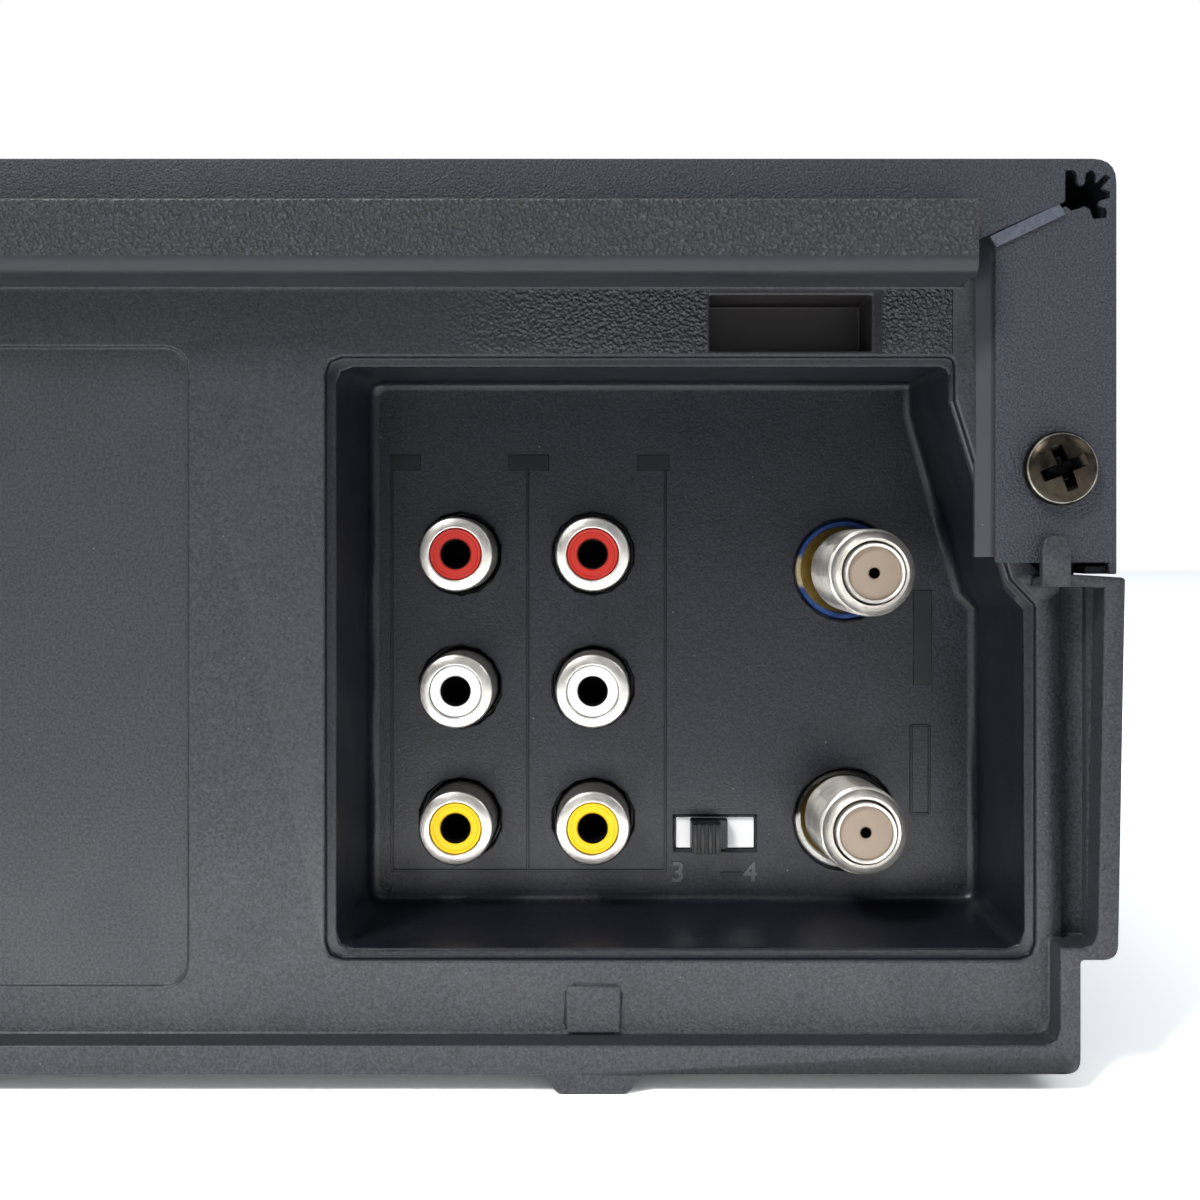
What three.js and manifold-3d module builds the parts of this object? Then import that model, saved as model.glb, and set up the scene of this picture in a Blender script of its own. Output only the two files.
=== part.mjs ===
// A VHS video cassette recorder, modelled as the separate pieces that come apart on a bench.
// Millimetres, +Z up, the front towards -Y, the jack bay at the rear on the -X side.
import * as THREE from "three";
import { mergeVertices } from "three/addons/utils/BufferGeometryUtils.js";
import Module from "manifold-3d";

const wasm = await Module();
wasm.setup();

// Overall sizes and clearances
const width = 360;
const depth = 258;
const height = 93;
const gap = 0.3; // between pieces that touch
const overrun = 1; // how far a cut or a join runs past its face
const weld = 0.0001; // corners closer than this are one
const roundSteps = 20; // facets of a full round
const jackSteps = 14; // facets of a jack, a hub or a roller
const smallSteps = 10; // facets of a pin or a small hole
const curveSteps = 2; // facets of a rounded corner
const trackSteps = 18; // facets of a guide track
const softSteps = 5; // facets of a large rounded corner

// Rear planes, measured in from the side rims, and the ledge that stands out from them
const ledgeProud = 3.5;
const flangeSet = 1.2;
const panelSet = 3.5;
const channelSet = 5;
const bayDepth = 21.4;

// Base frame: the moulded lower half with the rear wall
const frameWall = 2.5;
const frameTop = 51.2;
const standoff = 2; // underside above the table
const stepTop = 13.3;
const stepInset = 4.4;
const frameTaper = 0.7;
const frameRound = 1.5;
const rimWidth = 2;
const channelWidth = 2.8;
const stepRim = 1.2;
const lipHeight = 2.85;
const wallIn = 11.7; // side edge of the upper rear wall
const wallBevelWidth = 1.9;
const wallBevelDepth = 0.5;
const webSet = 1.35; // webs behind the cover's side flanges, set back from the wall
const ledgeIn = 14.9;
const ledgeDrop = 5; // ledge below the cover's top
const ledgeHeight = 7.4;
const ledgeWeb = 2.2;
const ledgeRound = 1.8;
const tabNear = 5.05;
const tabWidth = 2.85;
const tabTop = 55.3;
const tabRoot = 0.95; // depth of the tab's root and of the bar that carries it
const tabThick = 1.2;
const footMark = 52.3; // moulded rear feet, in from the cover's side
const footWidth = 9.4;
const footLength = 12;
const footSlope = 1.1;
const footRound = 1.5;
const padWidth = 5.7;
const padBottom = 5;
const padHeight = 4.9;
const padProud = 0.5;
const labelNear = 93.4;
const labelWidth = 112;
const labelBottom = 9.7;
const labelDrop = 18.5;
const labelRound = 2.6;
const labelDepth = 0.5;
const ventCount = 9;
const ventPitch = 8;
const ventWidth = 3;
const ventLength = 34;
const ventFront = 20;
const glandIn = 34;
const glandZ = 20;
const glandRadius = 6.5;
const glandHole = 3.6;
const glandProud = 2.5;
const floorRib = 1.6;
const floorRibHeight = 3;

// Jack bay in the rear wall
const bayFar = 79.5;
const bayNear = 7.4;
const bayBottom = 12.3;
const bayDrop = 19.5;
const bayUpper = 15.6;
const baySlantDrop = 4.4;
const bayStepIn = 9.9;
const bayStepTop = 50.9;
const bayStepLow = 48.3;
const bayRound = 1.7;
const bayLip = 1;
const bayDraft = 1.8;
const bayTopDraft = 0.6;
const windowNear = 24.1;
const windowWidth = 16.4;
const windowHeight = 6.2;
const windowDepth = 7;

// Sheet-steel cover
const sheet = 0.8;
const coverInset = 0.4;
const coverRound = 2.4;
const flangeWidth = 12.1;
const flangeBottom = 52.6;
const hemWidth = 2.9;
const topFlange = 9.9;
const mitreIn = 6;
const mitreDrop = 4.7;
const mitreSlopeShare = 0.44;
const mitreSlit = 0.5;
const mitreLip = 0.8; // raised lip along the lower side of the slit
const mitreLipProud = 0.25;
const reliefIn = 2.9; // middle of the crimped corner relief
const reliefDrop = 3.6;
const reliefReach = 2.25;
const reliefShares = [
  [-0.98, 1.07],
  [-0.63, 1.11],
  [-0.46, 0.89],
  [-0.46, 0.5],
  [-0.28, 0.37],
  [-0.11, 0.5],
  [-0.07, 0.93],
  [0.15, 1.11],
  [0.37, 0.93],
  [0.37, 0.5],
  [0.8, 0.89],
  [1.02, 0.76],
  [0.59, 0.28],
  [0.98, 0.11],
  [0.98, -0.15],
  [0.5, -0.28],
  [0.46, -0.5],
  [0.85, -0.63],
  [0.85, -1.02],
  [0.24, -1.07],
  [0.11, -0.63],
  [-0.15, -0.5],
  [-0.67, -0.76],
  [-0.98, -0.54],
];
const coverSlots = 14;
const coverSlotPitch = 6.5;
const coverSlotWidth = 2.2;
const coverSlotLength = 26;
const coverSlotRear = 22;
const coverSlotIn = 26;

// Cover screws at the rear
const screwIn = 5.85;
const screwZ = 62;
const screwHead = 7.6;
const screwHeadHeight = 2.3;
const screwShank = 3.4;
const screwLength = 9;
const screwBoss = 9;
const screwHeadShares = [
  [1, 0.33],
  [0.8, 0.85],
  [0.45, 1],
];

// Phono jacks, antenna connectors and the channel switch
const rcaNear = 52.5;
const rcaPitch = 15;
const rcaRows = ["video", "left", "right"];
const rcaRowShares = [0.1814, 0.4265, 0.6716]; // up the bay
const rcaShell = 8.3;
const rcaInner = 6.4;
const rcaReach = 6;
const rcaInsulator = 5.8;
const rcaSocket = 3.4;
const rcaHole = 9.3;
const rcaRecess = 0.4;
const blockDepth = 11;
const blockMargin = 6.2;
const fIn = 24;
const fTopZ = 51.6;
const fLowZ = 23.4;
const fThread = 9.4;
const fTip = 7.2;
const fTipLength = 1;
const fBore = 5.9;
const fReach = 14;
const fDielectric = 5.3;
const fPinHole = 1.2;
const fHole = 11.5;
const fNut = 10.9;
const fNutLength = 1.6;
const canWidth = 17;
const canDepth = 32;
const canHeight = 52;
const switchIn = 38.7;
const switchZ = 21.8;
const slotWidth = 9.2;
const slotHeight = 3.85;
const knobWidth = 4.2;
const knobHeight = 3.3;
const knobReach = 4;
const knobTravel = 1.5;
const knobRib = 0.35;
const knobRibs = 4;
const switchDepth = 6;
const switchBodyWidth = 11.4;
const switchBodyHeight = 8;

// Front panel, window and keys
const frontDepth = 12;
const frontWall = 3;
const frontRound = 3;
const frontBottom = 3;
const frontDrop = 0.4;
const frontChin = 9; // sloped edge below the face
const frontChinSet = 2.2;
const frontBrow = 4.6; // and above it
const frontBrowSet = 1.5;
const frontGroove = 1.2;
const frontGrooveDrop = 5.2; // below the door
const frontGrooveDepth = 1;
const frontPost = 2.5;
const frontPostIn = 8; // from the front board's edges
const frontPostMiddleClear = 7; // beside the display window
const doorWidth = 197;
const doorDrop = 8.8;
const doorThick = 2.2;
const doorSet = 0.6;
const doorClear = 2.2; // door below the carriage's floor
const doorHinge = 1.4; // hinge line below the door's top edge
const doorPin = 1.2;
const doorPinReach = 2.6;
const doorRib = 1;
const earThick = 3.6;
const earSpan = 5.5;
const windowPaneClear = 13.5; // from the keys
const windowPaneThick = 2;
const windowPaneBottom = 17;
const windowPaneDrop = 10.8; // below the door
const keyDepth = 3.4;
const keyProud = 0.8;
const keyLip = 1;
const keyStem = 3;
const keyTravel = 1.2;
const keyHeight = 9;
const keyWidth = 20;
const keyPitch = 23;
const keyRowIn = 18.5; // row of keys, from the panel's side
const transportNames = ["rewind", "play", "fast_forward", "record"];
const wideKeyWidth = 28;
const wideKeyDrop = 17.2; // below the door's top edge
const rockerHeight = 12;
const rockerTiltAngle = 5;

// Boards
const board = 1.6;
const boardZ = 12;
const boardPost = 3;
const mainBoardIn = 10; // boards, in from the frame's sides
const mainBoardReach = 58;
const mainBoardFrontClear = 14.4; // behind the front board
const mainBoardRearClear = 4.6; // before the jack bay
const powerBoardIn = 9;
const powerBoardClear = 13; // beside the deck's legs
const powerBoardFrontClear = 26.4;
const powerBoardRearClear = 15.5; // before the rear wall
const coreMargin = 6;
const coreDepth = 40;
const coreHeight = 38;
const coilDepth = 52;
const coilHeight = 24;
const frontBoardSet = 21;
const frontBoardBottom = 10;
const frontBoardTopDrop = 3.8; // below the door
const frontBoardEarDrop = 6.2; // below the door's top edge
const frontBoardEarIn = 112;
const frontBoardIn = 14;
const moduleMargin = 9; // inside the display window
const moduleEdge = 3;
const moduleDepth = 6;

// Mechanism deck
const deckZ = 24;
const deckSheet = 1.6;
const deckHalf = 108;
const deckBlockClear = 6.9; // beside the jack block
const deckPivotClear = 6.55; // beside the pinch arm's pivot
const deckShoulderClear = 8; // behind the side frames
const deckIdlerClear = 10; // before the idler's pivot
const deckBayClear = 1.6; // before the jack bay
const deckPost = 4;
const deckPostIn = 12;
const deckPostRearIn = 26;
const deckPostInset = 10;

// Head drum
const drumRearClear = 16.5; // before the rear wall
const drumRadius = 31;
const drumTiltAngle = 6;
const drumSeat = 25;
const drumLow = 31;
const drumSplit = 46;
const drumTop = 62;
const drumShaft = 3;
const drumRabbet = 0.6;
const drumRabbetDrop = 6;
const drumTopShares = [
  [1, 0.86],
  [0.8, 1],
  [0.35, 1],
  [0.3, 0.8],
];
const rotorRadius = 18;
const rotorTop = 3.4;
const rotorHeight = 3.4;

// Capstan and pinch roller
const capstanX = 66;
const capstanAhead = 30; // before the drum's axis
const capstanRadius = 2;
const capstanTop = 60;
const flywheelRadius = 18;
const flywheelZ = 18;
const flywheelHeight = 4;
const bearingRadius = 5;
const bearingHeight = 7;
const pinchRadius = 8;
const pinchHeight = 20;
const pinchLow = 36;
const pinchArm = 26;
const pinchContactAngle = 60; // direction from the capstan to the roller when it presses
const pinchAimAngle = 215; // direction of the arm then
const pinchSwingAngle = 25;
const pinchPlate = 2;
const pinchPin = 2;

// Reel tables and idler
const reelX = 46;
const reelY = 31;
const reelRadius = 15;
const reelHub = 7;
const reelSpindle = 4.5;
const reelDisc = 3.2;
const reelBase = 1.6;
const reelShoulder = 10;
const reelTop = 22;
const reelPost = 1.5;
const reelFins = 3;
const reelFin = 2.6;
const reelFinThick = 1.4;
const reelTeeth = 24;
const toothDepth = 1;
const toothShares = [0.25, 0.5, 0.75];
const idlerPivotY = 50;
const idlerArm = 22;
const idlerSwingAngle = 15;
const idlerPlate = 1.2;
const idlerBar = 8;

// Tape guides and fixed heads
const guideTrack = 45;
const guideAhead = 22; // centre of the arcs before the drum's axis
const guideStartAngle = -52;
const guideTravelAngle = 82;
const guideSlot = 4;
const guidePin = 1.7;
const guideBase = 5.6;
const guideBaseHeight = 4;
const guideRoller = 3.4;
const guideHeight = 50;
const guideFlange = 4.4;
const guideFlangeThick = 1.2;
const headX = 55;
const headBehind = 12; // behind the drum's axis
const headSize = 11;
const headDepth = 8;
const headHeight = 19;
const headFoot = 6;
const headOuterShare = 0.45;
const headInnerShare = 0.3;
const headDepthShare = 0.7;
const eraseX = 60;
const eraseAhead = 16;

// Cassette carriage
const cassetteWidth = 188;
const cassetteHeight = 25.4;
const cassettePlay = 0.8;
const holderDrop = 11.8; // holder's roof below the cover's top
const loadedZ = 32;
const carriageTravel = 60;
const carriageSet = 14; // behind the front board
const holderLength = 56;
const holderSheet = 1;
const holderLedge = 12;
const holderPin = 1.6;
const holderPinIn = 10;
const holderPinUp = 12; // pins above the holder's floor
const sliderSheet = 1.2;
const sliderDrop = 9;
const sliderBar = 22;
const sliderPin = 1.8;
const sliderPinIn = 8;
const sliderPinDrop = 9;
const sideFrame = 2.8;
const sideFrameDrop = 3; // below the slider's top
const sideFrameLength = 124;
const sideFoot = 6;
const sideArch = 24;

// Front feet
const frontFootIn = 40;
const frontFootBack = 33;
const frontFootRadius = 9;
const frontFootPin = 2.5;
const frontFootSoleShare = 0.85;

const frontY = -depth / 2;
const rimY = depth / 2 - ledgeProud;
const flangeY = rimY - flangeSet;
const flangeInnerY = flangeY - sheet;
const panelY = rimY - panelSet;
const wallInnerY = panelY - frameWall;
const bayY = rimY - bayDepth;
const bayBackY = bayY - frameWall;
const bodyFrontY = frontY + frontDepth + gap;
const coverHalf = width / 2 - coverInset;
const coverBottom = frameTop + gap;
const ledgeTop = height - ledgeDrop;
const ledgeBottom = ledgeTop - ledgeHeight;
const labelTop = height - labelDrop;
const bayTop = height - bayDrop;
const baySlantTop = bayTop - baySlantDrop;
const floorTop = standoff + frameWall;
const deckTop = deckZ + deckSheet;
const boardTop = boardZ + board;
const frontBoardY = frontY + frontBoardSet;
const fullTurn = Math.PI * 2;
const halfTurnAngle = 180;

// The carriage and deck follow the front board; the drum and what lies round it, the rear wall
const carriageY0 = frontBoardY + carriageSet;
const slotFloor = height - holderDrop - holderSheet - cassettePlay - cassetteHeight;
const holderPinZ = slotFloor + holderPinUp;
const sliderTop = height - sliderDrop;
const sliderPinZ = sliderTop - sliderPinDrop;
const sideFrameRear = carriageY0 + sideFrameLength;
const drumY = wallInnerY - drumRadius - drumRearClear;
const capstanY = drumY - capstanAhead;
const guideCentreY = drumY - guideAhead;
const deckFrontY = -idlerPivotY - deckIdlerClear;
const deckRearY = bayBackY - deckBayClear;
const deckShoulder = sideFrameRear + deckShoulderClear;
const deckPostFrontX = deckHalf - deckPostIn;
const frontFootX = width / 2 - frontFootIn;
const frontFootY = -depth / 2 + frontFootBack;
const deckPostFrontY = deckFrontY + deckPostInset;
const deckPostRearY = deckRearY - deckPostInset;

// Edges of the boards
const mainBoardLeft = -width / 2 + mainBoardIn;
const mainBoardFront = frontBoardY + board + mainBoardFrontClear;
const mainBoardRear = bayBackY - mainBoardRearClear;
const powerBoardLeft = deckPostFrontX + deckPost + powerBoardClear;
const powerBoardRight = width / 2 - powerBoardIn;
const powerBoardFront = frontBoardY + board + powerBoardFrontClear;
const powerBoardRear = wallInnerY - powerBoardRearClear;

const finishes = {
  plastic: [0x1b1a1b, 0.62, 0],
  gloss: [0x0f0f11, 0.25, 0],
  painted: [0x1d1c1d, 0.55, 0.3],
  nickel: [0xc9c6c0, 0.28, 1],
  steel: [0xa7a9ab, 0.38, 1],
  aluminium: [0xc4c6c8, 0.32, 1],
  dark: [0x2c2a2b, 0.4, 0.8],
  red: [0xb0201c, 0.42, 0],
  white: [0xdedad0, 0.45, 0],
  yellow: [0xd9b21e, 0.42, 0],
  beige: [0xd8cdb4, 0.5, 0],
  board: [0x8a6a3a, 0.6, 0],
  rubber: [0x141414, 0.85, 0],
  smoked: [0x120f14, 0.12, 0],
};

// A closed geometry as a solid for the joins and cuts, with its faces turned out
function solid(geometry) {
  const bare = new THREE.BufferGeometry();
  const loose = geometry.index ? geometry.toNonIndexed() : geometry;
  bare.setAttribute("position", loose.getAttribute("position"));
  const merged = mergeVertices(bare, weld);
  const corners = merged.index.array;
  const kept = [];
  for (let i = 0; i < corners.length; i += 3) {
    const [a, b, c] = corners.slice(i, i + 3);
    if (a !== b && b !== c && c !== a) kept.push(a, b, c);
  }
  const made = (order) =>
    new wasm.Manifold(
      new wasm.Mesh({
        numProp: 3,
        vertProperties: new Float32Array(merged.getAttribute("position").array),
        triVerts: new Uint32Array(order),
      }),
    );
  const first = made(kept);
  return first.volume() > 0 ? first : made(kept.reverse());
}

const join = (first, ...others) => others.reduce((all, one) => all.add(one), first);
const cut = (first, ...others) => others.reduce((all, one) => all.subtract(one), first);

// A closed outline from corners [x, y, radius]
function outline(corners) {
  const shape = new THREE.Shape();
  corners.forEach(([x, y, radius = 0], i) => {
    const here = new THREE.Vector2(x, y);
    const [px, py] = corners[(i + corners.length - 1) % corners.length];
    const [nx, ny] = corners[(i + 1) % corners.length];
    const back = new THREE.Vector2(px - x, py - y).normalize();
    const on = new THREE.Vector2(nx - x, ny - y).normalize();
    const reach = radius / Math.tan(Math.acos(back.dot(on)) / 2);
    const start = here.clone().addScaledVector(back, reach);
    const end = here.clone().addScaledVector(on, reach);
    if (i === 0) shape.moveTo(start.x, start.y);
    else shape.lineTo(start.x, start.y);
    if (radius > 0) shape.quadraticCurveTo(x, y, end.x, end.y);
  });
  shape.closePath();
  return shape;
}

const rectangle = (x0, x1, y0, y1, radius = 0) =>
  outline([
    [x0, y0, radius],
    [x1, y0, radius],
    [x1, y1, radius],
    [x0, y1, radius],
  ]);

function drawn(shape, length, steps = curveSteps) {
  return new THREE.ExtrudeGeometry(shape, {
    depth: length,
    bevelEnabled: false,
    curveSegments: steps,
  });
}

// Outlines drawn in (x, z), (y, z) and (x, y), and drawn out along the third axis
const alongY = (shape, y0, y1, steps) =>
  solid(drawn(shape, y1 - y0, steps).rotateX(Math.PI / 2).translate(0, y1, 0));
const alongZ = (shape, z0, z1) => solid(drawn(shape, z1 - z0).translate(0, 0, z0));
const turnToX = new THREE.Matrix4().makeBasis(
  new THREE.Vector3(0, 1, 0),
  new THREE.Vector3(0, 0, 1),
  new THREE.Vector3(1, 0, 0),
);
const alongX = (shape, x0, x1, steps) =>
  solid(drawn(shape, x1 - x0, steps).applyMatrix4(turnToX).translate(x0, 0, 0));

const blockGeometry = (x0, x1, y0, y1, z0, z1) =>
  new THREE.BoxGeometry(Math.abs(x1 - x0), Math.abs(y1 - y0), Math.abs(z1 - z0)).translate(
    (x0 + x1) / 2,
    (y0 + y1) / 2,
    (z0 + z1) / 2,
  );
const block = (...ends) => solid(blockGeometry(...ends));

const rodGeometry = (radius, length, steps) =>
  new THREE.CylinderGeometry(radius, radius, length, steps);
const rodX = (y, z, radius, x0, x1, steps = smallSteps) =>
  solid(
    rodGeometry(radius, Math.abs(x1 - x0), steps)
      .rotateZ(Math.PI / 2)
      .translate((x0 + x1) / 2, y, z),
  );
const rodY = (x, z, radius, y0, y1, steps = roundSteps) =>
  solid(rodGeometry(radius, y1 - y0, steps).translate(x, (y0 + y1) / 2, z));
const rodZ = (x, y, radius, z0, z1, steps = roundSteps) =>
  solid(
    rodGeometry(radius, z1 - z0, steps)
      .rotateX(Math.PI / 2)
      .translate(x, y, (z0 + z1) / 2),
  );

// A profile of [radius, height] turned about its axis; it starts and ends on the axis or closes
const turned = (profile, steps = roundSteps) =>
  new THREE.LatheGeometry(
    profile.map(([r, h]) => new THREE.Vector2(r, h)),
    steps,
  );
const ring = (profile) => [...profile, profile[0]];
const turnedZ = (profile, x, y, z, steps) =>
  solid(turned(profile, steps).rotateX(Math.PI / 2).translate(x, y, z));
const turnedY = (profile, x, y, z, steps) => solid(turned(profile, steps).translate(x, y, z));

// A solid between two outlines of the same corners, at y0 and y1
function between(shape0, y0, shape1, y1) {
  const near = shape0.getPoints(curveSteps).slice(0, -1);
  const far = shape1.getPoints(curveSteps).slice(0, -1);
  const count = near.length;
  if (THREE.ShapeUtils.isClockWise(near)) {
    near.reverse();
    far.reverse();
  }
  const points = [];
  for (const [ends, y] of [
    [near, y0],
    [far, y1],
  ]) {
    for (let i = 0; i < count; i++) points.push(ends[i].x, y, ends[i].y);
  }
  const faces = [];
  for (const [a, b, c] of THREE.ShapeUtils.triangulateShape([...near], [])) {
    faces.push(a, b, c, a + count, c + count, b + count);
  }
  for (let i = 0; i < count; i++) {
    const next = (i + 1) % count;
    faces.push(i, i + count, next, next, i + count, next + count);
  }
  const geometry = new THREE.BufferGeometry();
  geometry.setAttribute("position", new THREE.Float32BufferAttribute(points, 3));
  geometry.setIndex(faces);
  return solid(geometry);
}

const recorder = new THREE.Group();

function addPiece(name, made, finish, parent = recorder) {
  const mesh = made.getMesh();
  const geometry = new THREE.BufferGeometry();
  geometry.setAttribute("position", new THREE.BufferAttribute(mesh.vertProperties, 3));
  geometry.setIndex(new THREE.BufferAttribute(mesh.triVerts, 1));
  geometry.computeVertexNormals();
  const [color, roughness, metalness] = finishes[finish];
  const material = new THREE.MeshStandardMaterial({ color, roughness, metalness });
  const piece = new THREE.Mesh(geometry, material);
  piece.name = name;
  parent.add(piece);
  return piece;
}

const sides = [-1, 1];
const fromSide = (distance, side = -1) => side * (coverHalf - distance);
const sideName = (side) => (side < 0 ? "left" : "right");

// The frame's section across the recorder, drawn in by the given amounts
function frameSection(sideIn, stepUp, floorUp, top) {
  const foot = width / 2 - stepInset - sideIn;
  const waist = width / 2 - frameTaper - sideIn;
  const brim = width / 2 - sideIn;
  const low = standoff + floorUp;
  const step = stepTop + stepUp;
  return outline([
    [-foot, low, frameRound],
    [foot, low, frameRound],
    [foot, step],
    [waist, step, frameRound],
    [brim, top],
    [-brim, top],
    [-waist, step, frameRound],
    [-foot, step],
  ]);
}

// The bay's outline, drawn in by a draft; a negative draft grows it
function bayOutline(draft, topDraft) {
  const x = (distance) => fromSide(distance);
  return outline([
    [x(bayFar - draft), bayBottom + draft, bayRound],
    [x(bayNear + draft), bayBottom + draft, bayRound],
    [x(bayNear + draft), bayStepLow - draft / 2],
    [x(bayStepIn + draft / 2), bayStepTop - draft],
    [x(bayUpper + draft / 2), baySlantTop],
    [x(bayUpper + draft / 2), bayTop - topDraft, bayRound / 2],
    [x(bayFar - draft), bayTop - topDraft, bayRound],
  ]);
}

const rcaPlaces = rcaRows.flatMap((row, i) =>
  ["in", "out"].map((way, j) => ({
    name: `${row}_${way}`,
    row,
    x: fromSide(rcaNear + rcaPitch * j),
    z: bayBottom + (bayTop - bayBottom) * rcaRowShares[i],
  })),
);
const fPlaces = [
  { name: "antenna_in", x: fromSide(fIn), z: fTopZ },
  { name: "antenna_out", x: fromSide(fIn), z: fLowZ },
];

// The bay's walls and floor, to be joined to the frame, and its hollow
function bayShell() {
  const outer = bayOutline(-frameWall, -frameWall);
  const back = bayOutline(bayDraft - frameWall, bayTopDraft - frameWall);
  return between(outer, panelY, back, bayBackY);
}

function bayHollow() {
  const rim = alongY(bayOutline(0, 0), panelY - bayLip, rimY + overrun);
  const throat = between(
    bayOutline(bayLip, bayLip),
    panelY - bayLip / 2,
    bayOutline(bayDraft, bayTopDraft),
    bayY,
  );
  const front = alongY(bayOutline(bayLip, bayLip), panelY - bayLip, panelY);
  const holes = rcaPlaces.map(({ x, z }) =>
    rodY(x, z, rcaHole / 2, bayBackY - overrun, bayY + overrun, jackSteps),
  );
  holes.push(...fPlaces.map(({ x, z }) => rodY(x, z, fHole / 2, bayBackY - overrun, bayY + overrun)));
  const slotX = fromSide(switchIn);
  const slot = rectangle(
    slotX - slotWidth / 2,
    slotX + slotWidth / 2,
    switchZ - slotHeight / 2,
    switchZ + slotHeight / 2,
  );
  return join(rim, throat, front, ...holes, alongY(slot, bayBackY - overrun, bayY + overrun));
}

// The ledge along the top of the rear wall, whose channel holds the cover's top flange
function rearLedge() {
  const front = panelY - frameWall / 2;
  const channel = flangeY + gap;
  const profile = outline([
    [front, ledgeBottom],
    [depth / 2, ledgeBottom, ledgeRound],
    [depth / 2, ledgeTop, tabThick / 2],
    [channel, ledgeTop],
    [channel, ledgeBottom + ledgeWeb],
    [front, ledgeBottom + ledgeWeb],
  ]);
  return alongX(profile, fromSide(ledgeIn), fromSide(ledgeIn, 1), softSteps);
}

// The upper rear wall, with its side edges bevelled to the rear
function upperRearWall() {
  const edge = fromSide(wallIn, 1);
  const plan = outline([
    [-edge, wallInnerY],
    [edge, wallInnerY],
    [edge, panelY - wallBevelDepth],
    [edge - wallBevelWidth, panelY],
    [-edge + wallBevelWidth, panelY],
    [-edge, panelY - wallBevelDepth],
  ]);
  return alongZ(plan, frameTop - overrun, ledgeTop);
}

// What stands behind and before the cover's side flange: the screw boss, its web and the tab
function flangeSeat(side) {
  const x = (distance) => fromSide(distance, side);
  const bossBack = flangeInnerY - gap - screwLength - gap;
  const web = block(
    x(hemWidth + gap),
    x(wallIn + wallBevelWidth),
    wallInnerY,
    panelY - webSet,
    frameTop - overrun,
    screwZ + screwBoss / 2,
  );
  const boss = rodY(x(screwIn), screwZ, screwBoss / 2 - gap, bossBack, flangeInnerY - gap);
  const bore = rodY(
    x(screwIn),
    screwZ,
    screwShank / 2 + gap,
    bossBack - overrun,
    flangeInnerY + overrun,
    smallSteps,
  );
  const tabMiddle = x(tabNear + tabWidth / 2);
  const tabOutline = outline([
    [tabMiddle - tabWidth / 2, frameTop - tabRoot],
    [tabMiddle + tabWidth / 2, frameTop - tabRoot],
    [tabMiddle + tabWidth / 2, tabTop, tabWidth / 2 - gap],
    [tabMiddle - tabWidth / 2, tabTop, tabWidth / 2 - gap],
  ]);
  const tab = alongY(tabOutline, flangeY + gap, flangeY + gap + tabThick);
  const bar = block(
    side * (width / 2 - rimWidth / 2),
    tabMiddle - side * (tabWidth / 2),
    panelY - frameWall / 2,
    rimY,
    frameTop - tabRoot,
    frameTop,
  );
  return { added: join(web, boss, tab, bar), bore };
}

// A moulded half-round foot and the raised pad above it
function rearFoot(side) {
  const x = fromSide(footMark, side);
  const half = footWidth / 2;
  const section = outline([
    [x - half, standoff + overrun],
    [x - half, standoff],
    [x - half + footSlope, 0, footRound],
    [x + half - footSlope, 0, footRound],
    [x + half, standoff],
    [x + half, standoff + overrun],
  ]);
  const foot = alongY(section, rimY - footLength, rimY, softSteps);
  const pad = alongY(
    rectangle(
      x - padWidth / 2,
      x + padWidth / 2,
      padBottom,
      padBottom + padHeight,
      padWidth / 6,
    ),
    panelY - overrun,
    panelY + padProud,
  );
  return join(foot, pad);
}

const deckLeg = (x, y) => rodZ(x, y, deckPost, standoff + overrun, deckZ - gap, smallSteps);

function framePosts() {
  const posts = [];
  for (const [x, y] of deckPostPlaces) posts.push(deckLeg(x, y));
  const inset = boardPost * 2;
  const places = [
    [mainBoardLeft + inset, mainBoardFront + inset],
    [mainBoardLeft + inset, mainBoardRear - inset],
    [mainBoardReach - inset, mainBoardFront + inset],
    [mainBoardReach - inset, mainBoardRear - inset],
    [powerBoardLeft + inset, powerBoardFront + inset],
    [powerBoardRight - inset, powerBoardFront + inset],
    [powerBoardLeft + inset, powerBoardRear - inset],
    [powerBoardRight - inset, powerBoardRear - inset],
  ];
  for (const [x, y] of places) {
    posts.push(rodZ(x, y, boardPost, standoff + overrun, boardZ - gap, smallSteps));
  }
  return posts;
}

function floorVents() {
  const slots = [];
  for (const side of sides) {
    for (let i = 0; i < ventCount; i++) {
      const x = side * (width / 4 + (i - (ventCount - 1) / 2) * ventPitch);
      slots.push(
        block(
          x - ventWidth / 2,
          x + ventWidth / 2,
          -ventFront - ventLength,
          -ventFront,
          standoff - overrun,
          floorTop + overrun,
        ),
      );
    }
  }
  return slots;
}

// The blind window above the bay, and the pocket that closes it inside the wall
function windowHollow(grow, back) {
  return block(
    fromSide(windowNear - grow),
    fromSide(windowNear + windowWidth + grow),
    back,
    grow > 0 ? wallInnerY + overrun : panelY + overrun,
    bayTop + bayTopDraft - grow,
    bayTop + windowHeight + grow,
  );
}

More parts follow.
